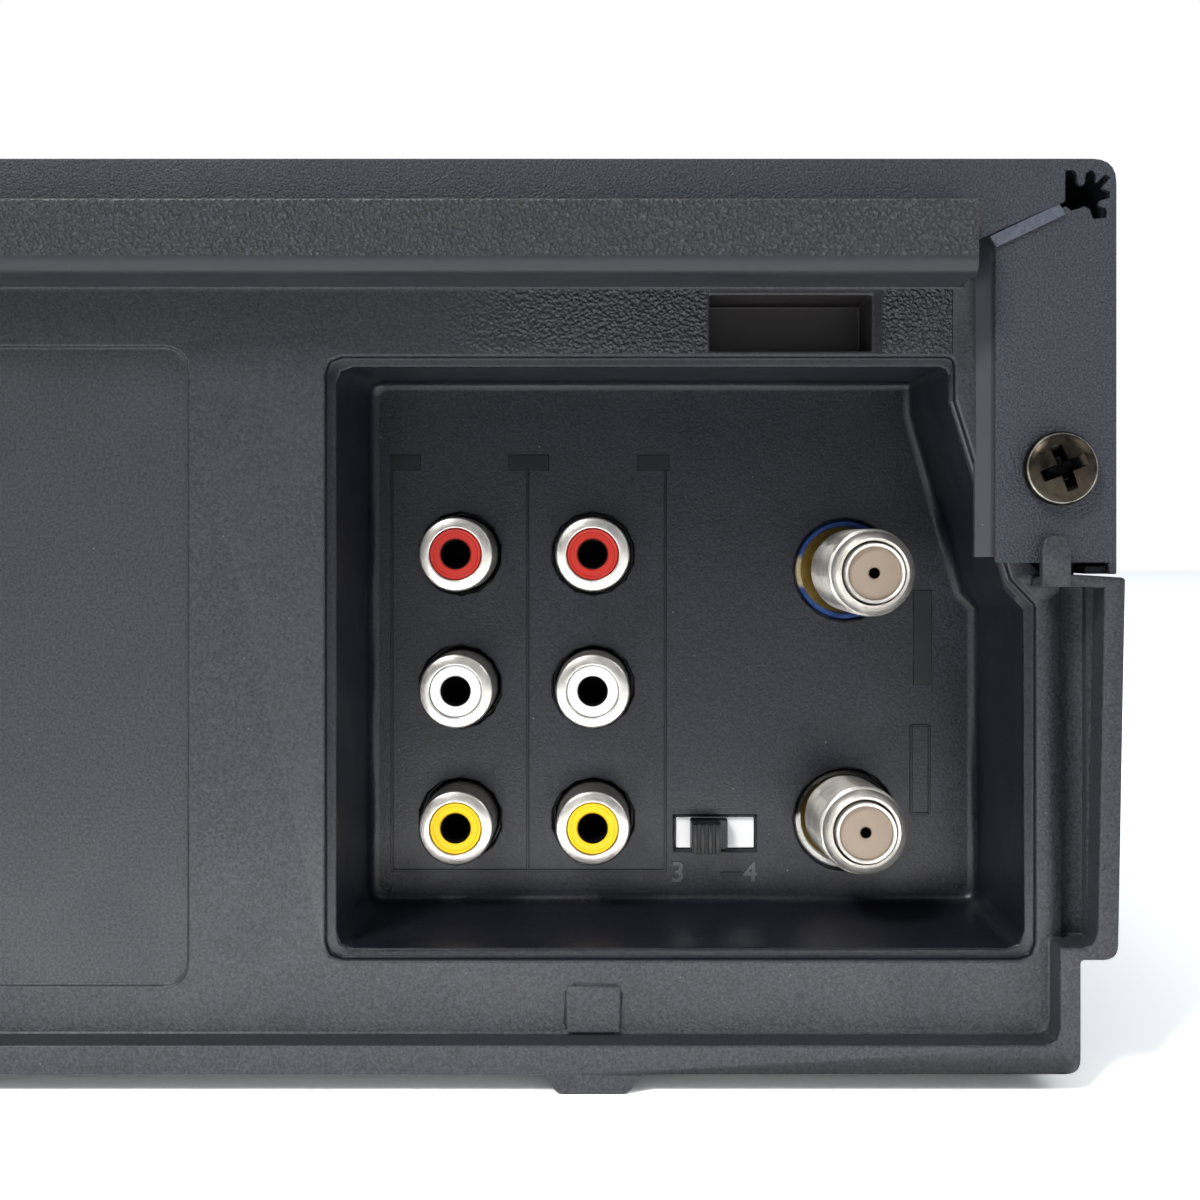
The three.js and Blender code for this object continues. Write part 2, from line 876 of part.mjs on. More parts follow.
function baseFrame() {
  const shell = alongY(frameSection(0, 0, 0, frameTop), bodyFrontY, rimY, softSteps);
  const inner = frameSection(frameWall, frameWall, frameWall, frameTop + overrun);
  const hollow = alongY(inner, bodyFrontY - overrun, wallInnerY);
  const recess = alongY(
    frameSection(rimWidth, stepRim, lipHeight, frameTop + overrun),
    panelY,
    rimY + overrun,
  );
  const channels = sides.map((side) =>
    block(
      side * (width / 2 - frameTaper - rimWidth),
      side * (width / 2 - frameTaper - rimWidth - channelWidth),
      rimY - channelSet,
      panelY + overrun,
      stepTop + stepRim,
      frameTop + overrun,
    ),
  );
  const windowBack = panelY - windowDepth;
  const pocket = windowHollow(frameWall / 2, windowBack - frameWall / 2);
  const window = windowHollow(0, windowBack);
  const label = alongY(
    rectangle(
      fromSide(labelNear),
      fromSide(labelNear + labelWidth),
      labelBottom,
      labelTop,
      labelRound,
    ),
    panelY - labelDepth,
    panelY + overrun,
    softSteps,
  );
  const glandX = fromSide(glandIn, 1);
  const gland = rodY(glandX, glandZ, glandRadius, wallInnerY - glandProud, panelY + glandProud);
  const glandBore = rodY(
    glandX,
    glandZ,
    glandHole,
    wallInnerY - glandProud - overrun,
    panelY + glandProud + overrun,
  );
  const ribs = [-1, 0, 1].map((i) =>
    block(
      (i * width) / 4 - floorRib / 2,
      (i * width) / 4 + floorRib / 2,
      bodyFrontY + frameWall,
      wallInnerY + overrun,
      standoff + overrun,
      floorTop + floorRibHeight,
    ),
  );
  const seats = sides.map(flangeSeat);
  let frame = join(cut(shell, hollow, recess, ...channels), upperRearWall(), rearLedge());
  frame = join(frame, bayShell(), pocket, gland, ...ribs, ...framePosts());
  frame = join(frame, ...seats.map((seat) => seat.added), ...sides.map(rearFoot));
  frame = cut(frame, bayHollow(), window, label, glandBore, ...floorVents());
  frame = cut(frame, ...seats.map((seat) => seat.bore), ...frontFootBores());
  addPiece("base_frame", frame, "plastic");
}

const frontFootBores = () =>
  sides.map((side) =>
    rodZ(
      side * frontFootX,
      frontFootY,
      frontFootPin + gap,
      standoff - overrun,
      floorTop + overrun,
      smallSteps,
    ),
  );

function frontFeet() {
  for (const side of sides) {
    const profile = [
      [0, 0],
      [frontFootRadius * frontFootSoleShare, 0],
      [frontFootRadius, standoff / 2],
      [frontFootRadius, standoff - gap],
      [frontFootPin, standoff - gap],
      [frontFootPin, floorTop + gap],
      [0, floorTop + gap],
    ];
    const foot = turnedZ(profile, side * frontFootX, frontFootY, 0, jackSteps);
    addPiece(`front_foot_${sideName(side)}`, foot, "rubber");
  }
}

// The mitre line in the cover's rear corner: its height at a distance in from the side
const mitreZ = (distance) => height - mitreDrop - (distance - mitreIn) * mitreSlopeShare;

function coverCorner(side) {
  const x = (distance) => fromSide(distance, side);
  const slit = alongY(
    outline([
      [x(mitreIn - overrun), mitreZ(mitreIn - overrun)],
      [x(flangeWidth + overrun), mitreZ(flangeWidth + overrun)],
      [x(flangeWidth + overrun), mitreZ(flangeWidth + overrun) - mitreSlit],
      [x(mitreIn - overrun), mitreZ(mitreIn - overrun) - mitreSlit],
    ]),
    flangeInnerY - overrun,
    flangeY + overrun,
  );
  const relief = alongY(
    outline(
      reliefShares.map(([out, up]) => [
        x(reliefIn - reliefReach * out),
        height - reliefDrop + reliefReach * up,
      ]),
    ),
    flangeInnerY - overrun,
    flangeY + overrun,
  );
  const screwHole = rodY(
    x(screwIn),
    screwZ,
    screwShank / 2 + gap,
    flangeInnerY - overrun,
    flangeY + overrun,
    smallSteps,
  );
  const foot = block(
    x(sheet),
    x(flangeWidth + overrun),
    flangeInnerY,
    flangeY + overrun,
    coverBottom - overrun,
    flangeBottom,
  );
  return join(slit, relief, screwHole, foot);
}

// The raised lip along the lower side of the mitre slit
function coverLip(side) {
  const x = (distance) => fromSide(distance, side);
  const top = (distance) => mitreZ(distance) - mitreSlit;
  const lip = outline([
    [x(mitreIn + mitreLip), top(mitreIn + mitreLip)],
    [x(flangeWidth), top(flangeWidth)],
    [x(flangeWidth), top(flangeWidth) - mitreLip],
    [x(mitreIn + mitreLip), top(mitreIn + mitreLip) - mitreLip],
  ]);
  return alongY(lip, flangeInnerY, flangeY + mitreLipProud);
}

function topCover() {
  const section = (inset, bottom) =>
    outline([
      [-coverHalf + inset, bottom],
      [coverHalf - inset, bottom],
      [coverHalf - inset, height - inset, coverRound - inset],
      [-coverHalf + inset, height - inset, coverRound - inset],
    ]);
  const outer = alongY(section(0, coverBottom), bodyFrontY, flangeY, softSteps);
  const inner = alongY(
    section(sheet, coverBottom - overrun),
    bodyFrontY - overrun,
    flangeInnerY,
    softSteps,
  );
  const flat = height - topFlange;
  const low = mitreIn + (height - mitreDrop - flat) / mitreSlopeShare;
  const edge = coverHalf - flangeWidth;
  const opening = alongY(
    outline([
      [-edge, coverBottom - overrun],
      [edge, coverBottom - overrun],
      [edge, mitreZ(flangeWidth)],
      [coverHalf - low, flat],
      [-coverHalf + low, flat],
      [-edge, mitreZ(flangeWidth)],
    ]),
    flangeInnerY - overrun,
    flangeY + overrun,
  );
  const hems = sides.map((side) =>
    block(
      fromSide(sheet / 2, side),
      fromSide(hemWidth, side),
      bodyFrontY,
      flangeInnerY - gap,
      coverBottom,
      coverBottom + sheet,
    ),
  );
  const slots = [];
  for (let i = 0; i < coverSlots; i++) {
    const x = fromSide(coverSlotIn + i * coverSlotPitch, 1);
    const y1 = flangeInnerY - coverSlotRear;
    slots.push(
      block(
        x - coverSlotWidth / 2,
        x + coverSlotWidth / 2,
        y1 - coverSlotLength,
        y1,
        height - sheet - overrun,
        height + overrun,
      ),
    );
  }
  const shell = cut(join(cut(outer, inner), ...hems), opening, ...slots, ...sides.map(coverCorner));
  addPiece("top_cover", join(shell, ...sides.map(coverLip)), "painted");
}

function coverScrews() {
  const head = screwHead / 2;
  const profile = [
    [0, -screwLength],
    [screwShank / 2, -screwLength],
    [screwShank / 2, gap],
    [head, gap],
    ...screwHeadShares.map(([out, up]) => [head * out, screwHeadHeight * up]),
    [0, screwHeadHeight],
  ];
  for (const side of sides) {
    const screw = turnedY(profile, fromSide(screwIn, side), flangeY, screwZ, jackSteps);
    addPiece(`cover_screw_${sideName(side)}`, screw, "dark");
  }
}

const blockFrontY = bayBackY - gap;
const blockBackY = blockFrontY - blockDepth;

function phonoJacks() {
  const x0 = fromSide(rcaNear - blockMargin);
  const x1 = fromSide(rcaNear + rcaPitch + blockMargin);
  const low = boardTop + gap;
  const top = Math.max(...rcaPlaces.map(({ z }) => z)) + blockMargin;
  let holder = block(x0, x1, blockBackY, blockFrontY, low, top);
  for (const { x, z } of rcaPlaces) {
    holder = cut(
      holder,
      rodY(
        x,
        z,
        rcaShell / 2 + gap,
        blockFrontY - blockDepth / 2,
        blockFrontY + overrun,
        jackSteps,
      ),
    );
  }
  addPiece("phono_jack_block", holder, "plastic");
  const root = blockFrontY - blockDepth / 2 + gap;
  const tip = bayY + rcaReach;
  const colours = { right: "red", left: "white", video: "yellow" };
  for (const { name, row, x, z } of rcaPlaces) {
    const outer = rcaShell / 2;
    const inner = rcaInner / 2;
    const shell = turnedY(
      ring([
        [inner, 0],
        [outer, 0],
        [outer, tip - root - gap],
        [outer - gap, tip - root],
        [inner, tip - root],
      ]),
      x,
      root,
      z,
      jackSteps,
    );
    addPiece(`jack_shell_${name}`, shell, "nickel");
    const socket = rcaSocket / 2;
    const reach = tip - root - rcaRecess;
    const insulator = turnedY(
      [
        [0, 0],
        [rcaInsulator / 2, 0],
        [rcaInsulator / 2, reach],
        [socket, reach],
        [socket, reach / 3],
        [0, reach / 3],
      ],
      x,
      root,
      z,
      jackSteps,
    );
    addPiece(`jack_insulator_${name}`, insulator, colours[row]);
  }
}

function antennaConnectors() {
  const x = fromSide(fIn);
  const x0 = x - canWidth / 2;
  const x1 = x + canWidth / 2;
  const low = boardTop + gap;
  const face = blockFrontY - fNutLength;
  let can = block(x0, x1, face - canDepth, face, low, low + canHeight);
  can = cut(
    can,
    block(
      x0 + sheet,
      x1 - sheet,
      face - canDepth + sheet,
      face - sheet - fNutLength,
      low - overrun,
      low + canHeight - sheet,
    ),
  );
  for (const { z } of fPlaces) {
    can = cut(can, rodY(x, z, fThread / 2 + gap, face - fNutLength, face + overrun));
  }
  addPiece("tuner_can", can, "steel");
  const tip = bayY + fReach;
  for (const { name, z } of fPlaces) {
    const root = face - fNutLength;
    const length = tip - root;
    const bore = fBore / 2;
    const seat = face - root + gap;
    const barrel = turnedY(
      ring([
        [bore, 0],
        [fThread / 2, 0],
        [fThread / 2, seat],
        [fNut / 2, seat],
        [fNut / 2, seat + fNutLength],
        [fThread / 2, seat + fNutLength],
        [fThread / 2, length - fTipLength],
        [fTip / 2, length],
        [bore, length],
      ]),
      x,
      root,
      z,
    );
    addPiece(`${name}_connector`, barrel, "nickel");
    const reach = length - gap;
    const dielectric = turnedY(
      [
        [0, 0],
        [fDielectric / 2, 0],
        [fDielectric / 2, reach],
        [fPinHole / 2, reach],
        [fPinHole / 2, reach / 2],
        [0, reach / 2],
      ],
      x,
      root,
      z,
      smallSteps,
    );
    addPiece(`${name}_dielectric`, dielectric, "beige");
  }
}

function channelSwitch() {
  const x = fromSide(switchIn);
  const face = bayBackY - gap;
  const x0 = x - switchBodyWidth / 2;
  const x1 = x + switchBodyWidth / 2;
  const body = cut(
    block(
      x0,
      x1,
      face - switchDepth,
      face,
      switchZ - switchBodyHeight / 2,
      switchZ + switchBodyHeight / 2,
    ),
    block(
      x - knobTravel / 2 - knobWidth / 2 - gap,
      x + knobTravel / 2 + knobWidth / 2 + gap,
      face - switchDepth / 2 - gap,
      face + overrun,
      switchZ - knobHeight / 2 - gap / 2,
      switchZ + knobHeight / 2 + gap / 2,
    ),
  );
  addPiece("channel_switch_body", body, "white");
  const knobX = x + knobTravel / 2;
  const front = bayY + knobReach;
  let knob = block(
    knobX - knobWidth / 2,
    knobX + knobWidth / 2,
    face - switchDepth / 2,
    front,
    switchZ - knobHeight / 2,
    switchZ + knobHeight / 2,
  );
  for (let i = 0; i < knobRibs; i++) {
    const ribX = knobX + ((i + 0.5) / knobRibs - 0.5) * knobWidth;
    const groove = knobWidth / knobRibs / 2;
    knob = cut(
      knob,
      block(
        ribX - groove / 2,
        ribX + groove / 2,
        front - knobRib,
        front + overrun,
        switchZ - knobHeight,
        switchZ + knobHeight,
      ),
    );
  }
  addPiece("channel_switch_knob", knob, "plastic");
}

const doorBottom = slotFloor - doorClear;
const doorTop = height - doorDrop;
const doorHeight = doorTop - doorBottom;
const hingeY = frontY + doorSet + doorThick / 2;
const hingeZ = doorTop - doorHinge;

// The keys' row starts at the panel's side, the display window fills what is left, and the wide
// keys stand between the door's ears and the panel's sides
const lastKeyX = width / 2 - keyRowIn - keyWidth / 2;
const firstKeyX = lastKeyX - (transportNames.length - 1) * keyPitch;
const windowPaneWidth = (firstKeyX - keyWidth / 2 - windowPaneClear) * 2;
const windowPaneHeight = doorBottom - windowPaneDrop - windowPaneBottom;
const windowPaneZ = windowPaneBottom + windowPaneHeight / 2;
const wideKeyX = (doorWidth / 2 + gap + earThick + width / 2) / 2;
const wideKeyZ = doorTop - wideKeyDrop;

const transportKeys = transportNames.map((name, i) => ({
  name: `${name}_button`,
  x: firstKeyX + i * keyPitch,
  z: windowPaneZ,
  w: keyWidth,
  h: keyHeight,
}));
const keys = [
  ...transportKeys,
  { name: "power_button", x: -wideKeyX, z: wideKeyZ, w: wideKeyWidth, h: keyHeight },
  {
    name: "stop_eject_button",
    x: -wideKeyX + keyPitch / 2,
    z: windowPaneZ,
    w: wideKeyWidth,
    h: keyHeight,
  },
];
const rocker = {
  x: wideKeyX,
  z: wideKeyZ,
  w: wideKeyWidth,
  h: rockerHeight,
  angle: rockerTiltAngle,
};

const frontBoardHalf = width / 2 - frontBoardIn;
const frontBoardTop = doorBottom - frontBoardTopDrop;
const frontBoardEarTop = doorTop - frontBoardEarDrop;

const keyOutline = ({ x, z, w, h }, grow) =>
  rectangle(
    x - w / 2 - grow,
    x + w / 2 + grow,
    z - h / 2 - grow,
    z + h / 2 + grow,
    keyLip + grow,
  );

function frontPanel() {
  const face = (inset, floor) =>
    rectangle(
      -width / 2 + inset,
      width / 2 - inset,
      frontBottom + floor,
      height - frontDrop - inset,
      frontRound,
    );
  const y1 = frontY + frontDepth;
  const faceBack = frontY + keyProud + frontWall;
  const faceY = frontY + keyProud;
  const top = height - frontDrop;
  const profile = outline([
    [faceY + frontChinSet, frontBottom],
    [y1, frontBottom],
    [y1, top],
    [faceY + frontBrowSet, top],
    [faceY, top - frontBrow],
    [faceY, frontBottom + frontChin],
  ]);
  const grooveTop = doorBottom - frontGrooveDrop;
  const groove = block(
    -width / 2 - overrun,
    width / 2 + overrun,
    frontY - overrun,
    faceY + frontGrooveDepth,
    grooveTop - frontGroove,
    grooveTop,
  );
  let panel = cut(
    alongY(face(0, 0), faceY, y1).intersect(alongX(profile, -width / 2, width / 2)),
    alongY(face(frontWall, frontWall), faceBack, y1 + overrun),
    groove,
  );
  const doorway = block(
    -doorWidth / 2 - gap,
    doorWidth / 2 + gap,
    frontY - overrun,
    faceBack + overrun,
    doorBottom - gap,
    doorTop + gap * 2,
  );
  panel = cut(panel, doorway);
  for (const side of sides) {
    const x0 = side * (doorWidth / 2 + gap);
    const ear = block(
      x0,
      x0 + side * earThick,
      faceBack - overrun,
      hingeY + earSpan,
      hingeZ - earSpan,
      hingeZ + earSpan / 2,
    );
    const bore = rodX(hingeY, hingeZ, doorPin + gap, x0 - side * overrun, x0 + side * (doorPinReach + gap));
    panel = cut(join(panel, ear), bore);
  }
  const pane = windowOutline(gap);
  const paneSeat = windowOutline(-keyLip);
  panel = cut(panel, alongY(pane, frontY - overrun, faceY + windowPaneThick + gap));
  panel = cut(panel, alongY(paneSeat, frontY - overrun, faceBack + overrun));
  for (const key of [...keys, rocker]) {
    panel = cut(panel, alongY(keyOutline(key, gap), frontY - overrun, faceBack + overrun));
  }
  const low = frontBoardBottom + frontPostIn / 2;
  const places = sides.flatMap((side) => [
    [side * (frontBoardHalf - frontPostIn), low],
    [side * (frontBoardHalf - frontPostIn), frontBoardTop + frontPostIn / 2],
    [side * (windowPaneWidth / 2 + frontPostMiddleClear), low],
  ]);
  const posts = places.map(([x, z]) =>
    rodY(x, z, frontPost, faceBack - overrun, frontBoardY - gap, smallSteps),
  );
  addPiece("front_panel", join(panel, ...posts), "plastic");
}

const windowOutline = (grow) =>
  rectangle(
    -windowPaneWidth / 2 - grow,
    windowPaneWidth / 2 + grow,
    windowPaneZ - windowPaneHeight / 2 - grow,
    windowPaneZ + windowPaneHeight / 2 + grow,
    keyLip,
  );

function displayWindow() {
  const y0 = frontY + keyProud;
  addPiece("display_window", alongY(windowOutline(0), y0, y0 + windowPaneThick), "smoked");
}

function cassetteDoor() {
  const y0 = frontY + doorSet;
  const half = doorWidth / 2;
  const profile = outline([
    [y0, doorBottom, doorThick / 3],
    [y0 + doorThick, doorBottom],
    [y0 + doorThick, doorTop, doorThick / 3],
    [y0, doorTop, doorThick / 3],
  ]);
  const door = alongX(profile, -half, half);
  const pins = sides.map((side) =>
    rodX(hingeY, hingeZ, doorPin, side * (half - overrun), side * (half + doorPinReach)),
  );
  const ribs = [1, 2].map((i) =>
    block(
      -half + earThick,
      half - earThick,
      y0 + doorThick / 2,
      y0 + doorThick + doorRib,
      doorBottom + (doorHeight * i) / 3 - doorRib / 2,
      doorBottom + (doorHeight * i) / 3 + doorRib / 2,
    ),
  );
  addPiece("cassette_door", join(door, ...pins, ...ribs), "plastic");
}

// A key cap with the lip that holds it behind the panel, and its stem to the board's switch;
// a key that rocks has its lip further back
function keyPiece({ x, z, w, h, angle = 0 }, travel) {
  const rock = (h / 2 + keyLip) * Math.sin(THREE.MathUtils.degToRad(angle));
  const faceBack = frontY + keyProud + frontWall;
  const cap = alongY(keyOutline({ x, z, w, h }, 0), frontY, faceBack + keyDepth);
  const lip = alongY(
    keyOutline({ x, z, w, h }, keyLip),
    faceBack + gap + rock,
    faceBack + gap + rock + keyDepth / 2,
  );
  const stem = rodY(x, z, keyStem / 2, faceBack + keyDepth / 2, frontBoardY - travel - gap, smallSteps);
  return join(cap, lip, stem);
}

function frontKeys() {
  for (const key of keys) addPiece(key.name, keyPiece(key, keyTravel), "gloss");
  addPiece("channel_rocker", keyPiece(rocker, keyTravel), "gloss");
}

function boards() {
  const plan = outline([
    [mainBoardLeft, mainBoardFront],
    [mainBoardReach, mainBoardFront],
    [mainBoardReach, mainBoardRear],
    [mainBoardLeft, mainBoardRear],
  ]);
  let main = alongZ(plan, boardZ, boardTop);
  for (const [x, y] of deckPostPlaces.filter(([x]) => x < 0)) {
    main = cut(main, rodZ(x, y, deckPost + overrun, boardZ - overrun, boardTop + overrun));
  }
  addPiece("main_board", main, "board");

  const power = block(
    powerBoardLeft,
    powerBoardRight,
    powerBoardFront,
    powerBoardRear,
    boardZ,
    boardTop,
  );
  addPiece("power_board", power, "board");
  const coreX = (powerBoardLeft + powerBoardRight) / 2;
  const coreWidth = powerBoardRight - powerBoardLeft - coreMargin * 2;
  const low = boardTop + gap;
  const core = block(
    coreX - coreWidth / 2,
    coreX + coreWidth / 2,
    -coreDepth / 2,
    coreDepth / 2,
    low,
    low + coreHeight,
  );
  const coilZ = low + coreHeight / 2;
  const coil = alongY(
    rectangle(
      coreX - coilHeight / 2,
      coreX + coilHeight / 2,
      coilZ - coilHeight / 2,
      coilZ + coilHeight / 2,
      coilHeight / 4,
    ),
    -coilDepth / 2,
    coilDepth / 2,
  );
  addPiece("power_transformer", join(core, coil), "steel");

  const ear = frontBoardEarIn;
  const frontPlan = outline([
    [-frontBoardHalf, frontBoardBottom],
    [frontBoardHalf, frontBoardBottom],
    [frontBoardHalf, frontBoardEarTop],
    [ear, frontBoardEarTop],
    [ear, frontBoardTop],
    [-ear, frontBoardTop],
    [-ear, frontBoardEarTop],
    [-frontBoardHalf, frontBoardEarTop],
  ]);
  addPiece("front_board", alongY(frontPlan, frontBoardY, frontBoardY + board), "board");
  const moduleHalf = windowPaneWidth / 2 - moduleMargin;
  const display = block(
    -moduleHalf,
    moduleHalf,
    frontBoardY - gap - moduleDepth,
    frontBoardY - gap,
    windowPaneBottom + moduleEdge,
    windowPaneBottom + windowPaneHeight - moduleEdge,
  );
  addPiece("display_module", display, "smoked");
}

const atAngle = (x, y, reach, degrees) => {
  const a = THREE.MathUtils.degToRad(degrees);
  return [x + reach * Math.cos(a), y + reach * Math.sin(a)];
};

// An arc-shaped slot about (x, y), with round ends
function arcSlot(x, y, radius, half, start, end, z0, z1) {
  const from = THREE.MathUtils.degToRad(start);
  const to = THREE.MathUtils.degToRad(end);
  const shape = new THREE.Shape();
  for (let i = 0; i <= trackSteps; i++) {
    const a = from + ((to - from) * i) / trackSteps;
    const px = x + (radius + half) * Math.cos(a);
    const py = y + (radius + half) * Math.sin(a);
    if (i === 0) shape.moveTo(px, py);
    else shape.lineTo(px, py);
  }
  for (let i = trackSteps; i >= 0; i--) {
    const a = from + ((to - from) * i) / trackSteps;
    shape.lineTo(x + (radius - half) * Math.cos(a), y + (radius - half) * Math.sin(a));
  }
  const ends = [start, end].map((angle) => {
    const [ex, ey] = atAngle(x, y, radius, angle);
    return rodZ(ex, ey, half, z0, z1, smallSteps);
  });
  return join(alongZ(shape, z0, z1), ...ends);
}

const sideFrameX = cassetteWidth / 2 + cassettePlay + holderSheet + sliderSheet + gap * 2;
const pinchEngaged = atAngle(
  capstanX,
  capstanY,
  capstanRadius + pinchRadius + gap,
  pinchContactAngle,
);
const pinchPivot = atAngle(...pinchEngaged, -pinchArm, pinchAimAngle);
const pinchRest = atAngle(...pinchPivot, pinchArm, pinchAimAngle - pinchSwingAngle);
const deckLeftRear = fromSide(rcaNear + rcaPitch + blockMargin) + deckBlockClear;
const deckRightRear = pinchPivot[0] + deckPivotClear;
const deckPostPlaces = [
  [-deckPostFrontX, deckPostFrontY],
  [deckPostFrontX, deckPostFrontY],
  [deckLeftRear + deckPostRearIn, deckPostRearY],
  [deckRightRear - deckPostRearIn, deckPostRearY],
];

function deckPlate() {
  const plan = outline([
    [-deckHalf, deckFrontY],
    [deckHalf, deckFrontY],
    [deckHalf, deckShoulder],
    [deckRightRear, deckShoulder],
    [deckRightRear, deckRearY],
    [deckLeftRear, deckRearY],
    [deckLeftRear, deckShoulder],
    [-deckHalf, deckShoulder],
  ]);
  const low = deckZ - overrun;
  const high = deckTop + overrun;
  let deck = alongZ(plan, deckZ, deckTop);
  deck = join(
    deck,
    rodZ(capstanX, capstanY, bearingRadius, deckTop - deckSheet / 2, deckTop + bearingHeight),
    ...sides.map((side) =>
      rodZ(side * reelX, -reelY, reelPost, deckZ, deckTop + reelTop - gap, smallSteps),
    ),
    rodZ(0, -idlerPivotY, reelPost, deckZ, deckTop + gap + idlerPlate, smallSteps),
    rodZ(...pinchPivot, pinchPin, deckZ, pinchLow - gap, smallSteps),
  );
  deck = cut(
    deck,
    rodZ(capstanX, capstanY, capstanRadius + gap, low, deckTop + bearingHeight + overrun, smallSteps),
    rodZ(0, drumY, drumShaft * 2, low, high),
    ...sides.map((side) => {
      const start = side > 0 ? guideStartAngle : halfTurnAngle - guideStartAngle;
      const end = start + side * guideTravelAngle;
      return arcSlot(0, guideCentreY, guideTrack, guideSlot / 2, start, end, low, high);
    }),
  );
  addPiece("deck_plate", deck, "steel");
}


// The drum's pieces are drawn upright about the drum's own centre and tilted together
function headDrum() {
  const tilted = (profile, z) =>
    solid(
      turned(profile)
        .rotateX(Math.PI / 2)
        .translate(0, 0, z - drumSplit)
        .rotateX(THREE.MathUtils.degToRad(-drumTiltAngle))
        .translate(0, drumY, drumSplit),
    );
  const bore = drumShaft + gap;
  const lower = tilted(
    ring([
      [bore, 0],
      [drumRadius + drumRabbet, 0],
      [drumRadius + drumRabbet, drumSplit - drumLow - drumRabbetDrop],
      [drumRadius, drumSplit - drumLow - drumRabbetDrop],
      [drumRadius, drumSplit - drumLow - gap],
      [bore, drumSplit - drumLow - gap],
    ]),
    drumLow,
  );
  const seat = rodZ(0, drumY, drumSeat, deckTop + gap, drumLow + gap);
  const through = tilted(
    [
      [0, 0],
      [bore, 0],
      [bore, drumTop],
      [0, drumTop],
    ],
    0,
  );
  addPiece("lower_drum", cut(join(lower, seat), through), "aluminium");
  const rise = drumTop - drumSplit;
  const shaftLow = deckZ - rotorTop - rotorHeight;
  const upper = tilted(
    [
      [0, shaftLow - drumSplit],
      [drumShaft, shaftLow - drumSplit],
      [drumShaft, 0],
      [drumRadius, 0],
      ...drumTopShares.map(([out, up]) => [drumRadius * out, rise * up]),
      [0, rise * drumTopShares.at(-1)[1]],
    ],
    drumSplit,
  );
  addPiece("upper_drum", upper, "aluminium");
  const rotor = tilted(
    ring([
      [drumShaft + gap, 0],
      [rotorRadius, 0],
      [rotorRadius, rotorHeight],
      [drumShaft + gap, rotorHeight],
    ]),
    shaftLow,
  );
  addPiece("drum_rotor", rotor, "steel");
}

function capstanDrive() {
  const capstan = turnedZ(
    [
      [0, 0],
      [flywheelRadius, 0],
      [flywheelRadius, flywheelHeight],
      [capstanRadius * 2, flywheelHeight],
      [capstanRadius, flywheelHeight + capstanRadius / 2],
      [capstanRadius, capstanTop - flywheelZ],
      [0, capstanTop - flywheelZ],
    ],
    capstanX,
    capstanY,
    flywheelZ,
  );
  addPiece("capstan", capstan, "steel");

  const [px, py] = pinchPivot;
  const [rx, ry] = pinchRest;
  const bar = new THREE.Shape();
  const along = Math.atan2(ry - py, rx - px);
  const half = pinchPin * 2;
  bar.absarc(px, py, half, along + Math.PI / 2, along + (Math.PI * 3) / 2);
  bar.absarc(rx, ry, half, along - Math.PI / 2, along + Math.PI / 2);
  const barLow = deckTop + bearingHeight + gap;
  const arm = cut(
    join(
      alongZ(bar, barLow, barLow + pinchPlate),
      rodZ(rx, ry, pinchPin, barLow, pinchLow + pinchHeight + pinchPlate, smallSteps),
    ),
    rodZ(px, py, pinchPin + gap, barLow - overrun, barLow + pinchPlate + overrun, smallSteps),
  );
  addPiece("pinch_arm", arm, "steel");
  const roller = turnedZ(
    ring([
      [pinchPin + gap, 0],
      [pinchRadius - gap, 0],
      [pinchRadius, gap],
      [pinchRadius, pinchHeight - gap],
      [pinchRadius - gap, pinchHeight],
      [pinchPin + gap, pinchHeight],
    ]),
    rx,
    ry,
    pinchLow,
    jackSteps,
  );
  addPiece("pinch_roller", roller, "rubber");
}

// A toothed rim as one outline: each tooth has a flat top and sloping sides
function toothedOutline(x, y, radius, teeth) {
  const shape = new THREE.Shape();
  const step = fullTurn / teeth;
  for (let i = 0; i < teeth; i++) {
    for (const [share, reach] of [
      [0, radius - toothDepth],
      [toothShares[0], radius - toothDepth],
      [toothShares[1], radius],
      [toothShares[2], radius],
    ]) {
      const a = (i + share) * step;
      const px = x + reach * Math.cos(a);
      const py = y + reach * Math.sin(a);
      if (i + share === 0) shape.moveTo(px, py);
      else shape.lineTo(px, py);
    }
  }
  shape.closePath();
  return shape;
}

function reelTables() {
  const base = deckTop + gap;
  for (const side of sides) {
    const x = side * reelX;
    const rim = alongZ(
      toothedOutline(x, -reelY, reelRadius, reelTeeth),
      base + reelBase,
      base + reelBase + reelDisc,
    );
    const hub = turnedZ(
      [
        [0, 0],
        [reelHub, 0],
        [reelHub, reelShoulder],
        [reelSpindle, reelShoulder],
        [reelSpindle, reelTop - gap * 2],
        [reelSpindle / 2, reelTop + gap * 2],
        [0, reelTop + gap * 2],
      ],
      x,
      -reelY,
      base,
      jackSteps,
    );
    const fins = [];
    for (let i = 0; i < reelFins; i++) {
      fins.push(
        solid(
          blockGeometry(
            0,
            reelSpindle + reelFin,
            -reelFinThick / 2,
            reelFinThick / 2,
            base + reelShoulder - overrun,
            base + reelTop - reelFin,
          )
            .rotateZ((fullTurn * i) / reelFins)
            .translate(x, -reelY, 0),
        ),
      );
    }
    const bore = rodZ(x, -reelY, reelPost + gap, base - overrun, deckTop + reelTop, smallSteps);
    addPiece(`${side < 0 ? "supply" : "takeup"}_reel_table`, cut(join(rim, hub, ...fins), bore), "plastic");
  }
}

// The idler's radius leaves a gap to the reel table when its arm is fully over
const idlerOver = atAngle(0, -idlerPivotY, idlerArm, halfTurnAngle / 2 - idlerSwingAngle);
const idlerRadius =
  Math.hypot(reelX - idlerOver[0], -reelY - idlerOver[1]) - reelRadius - gap;

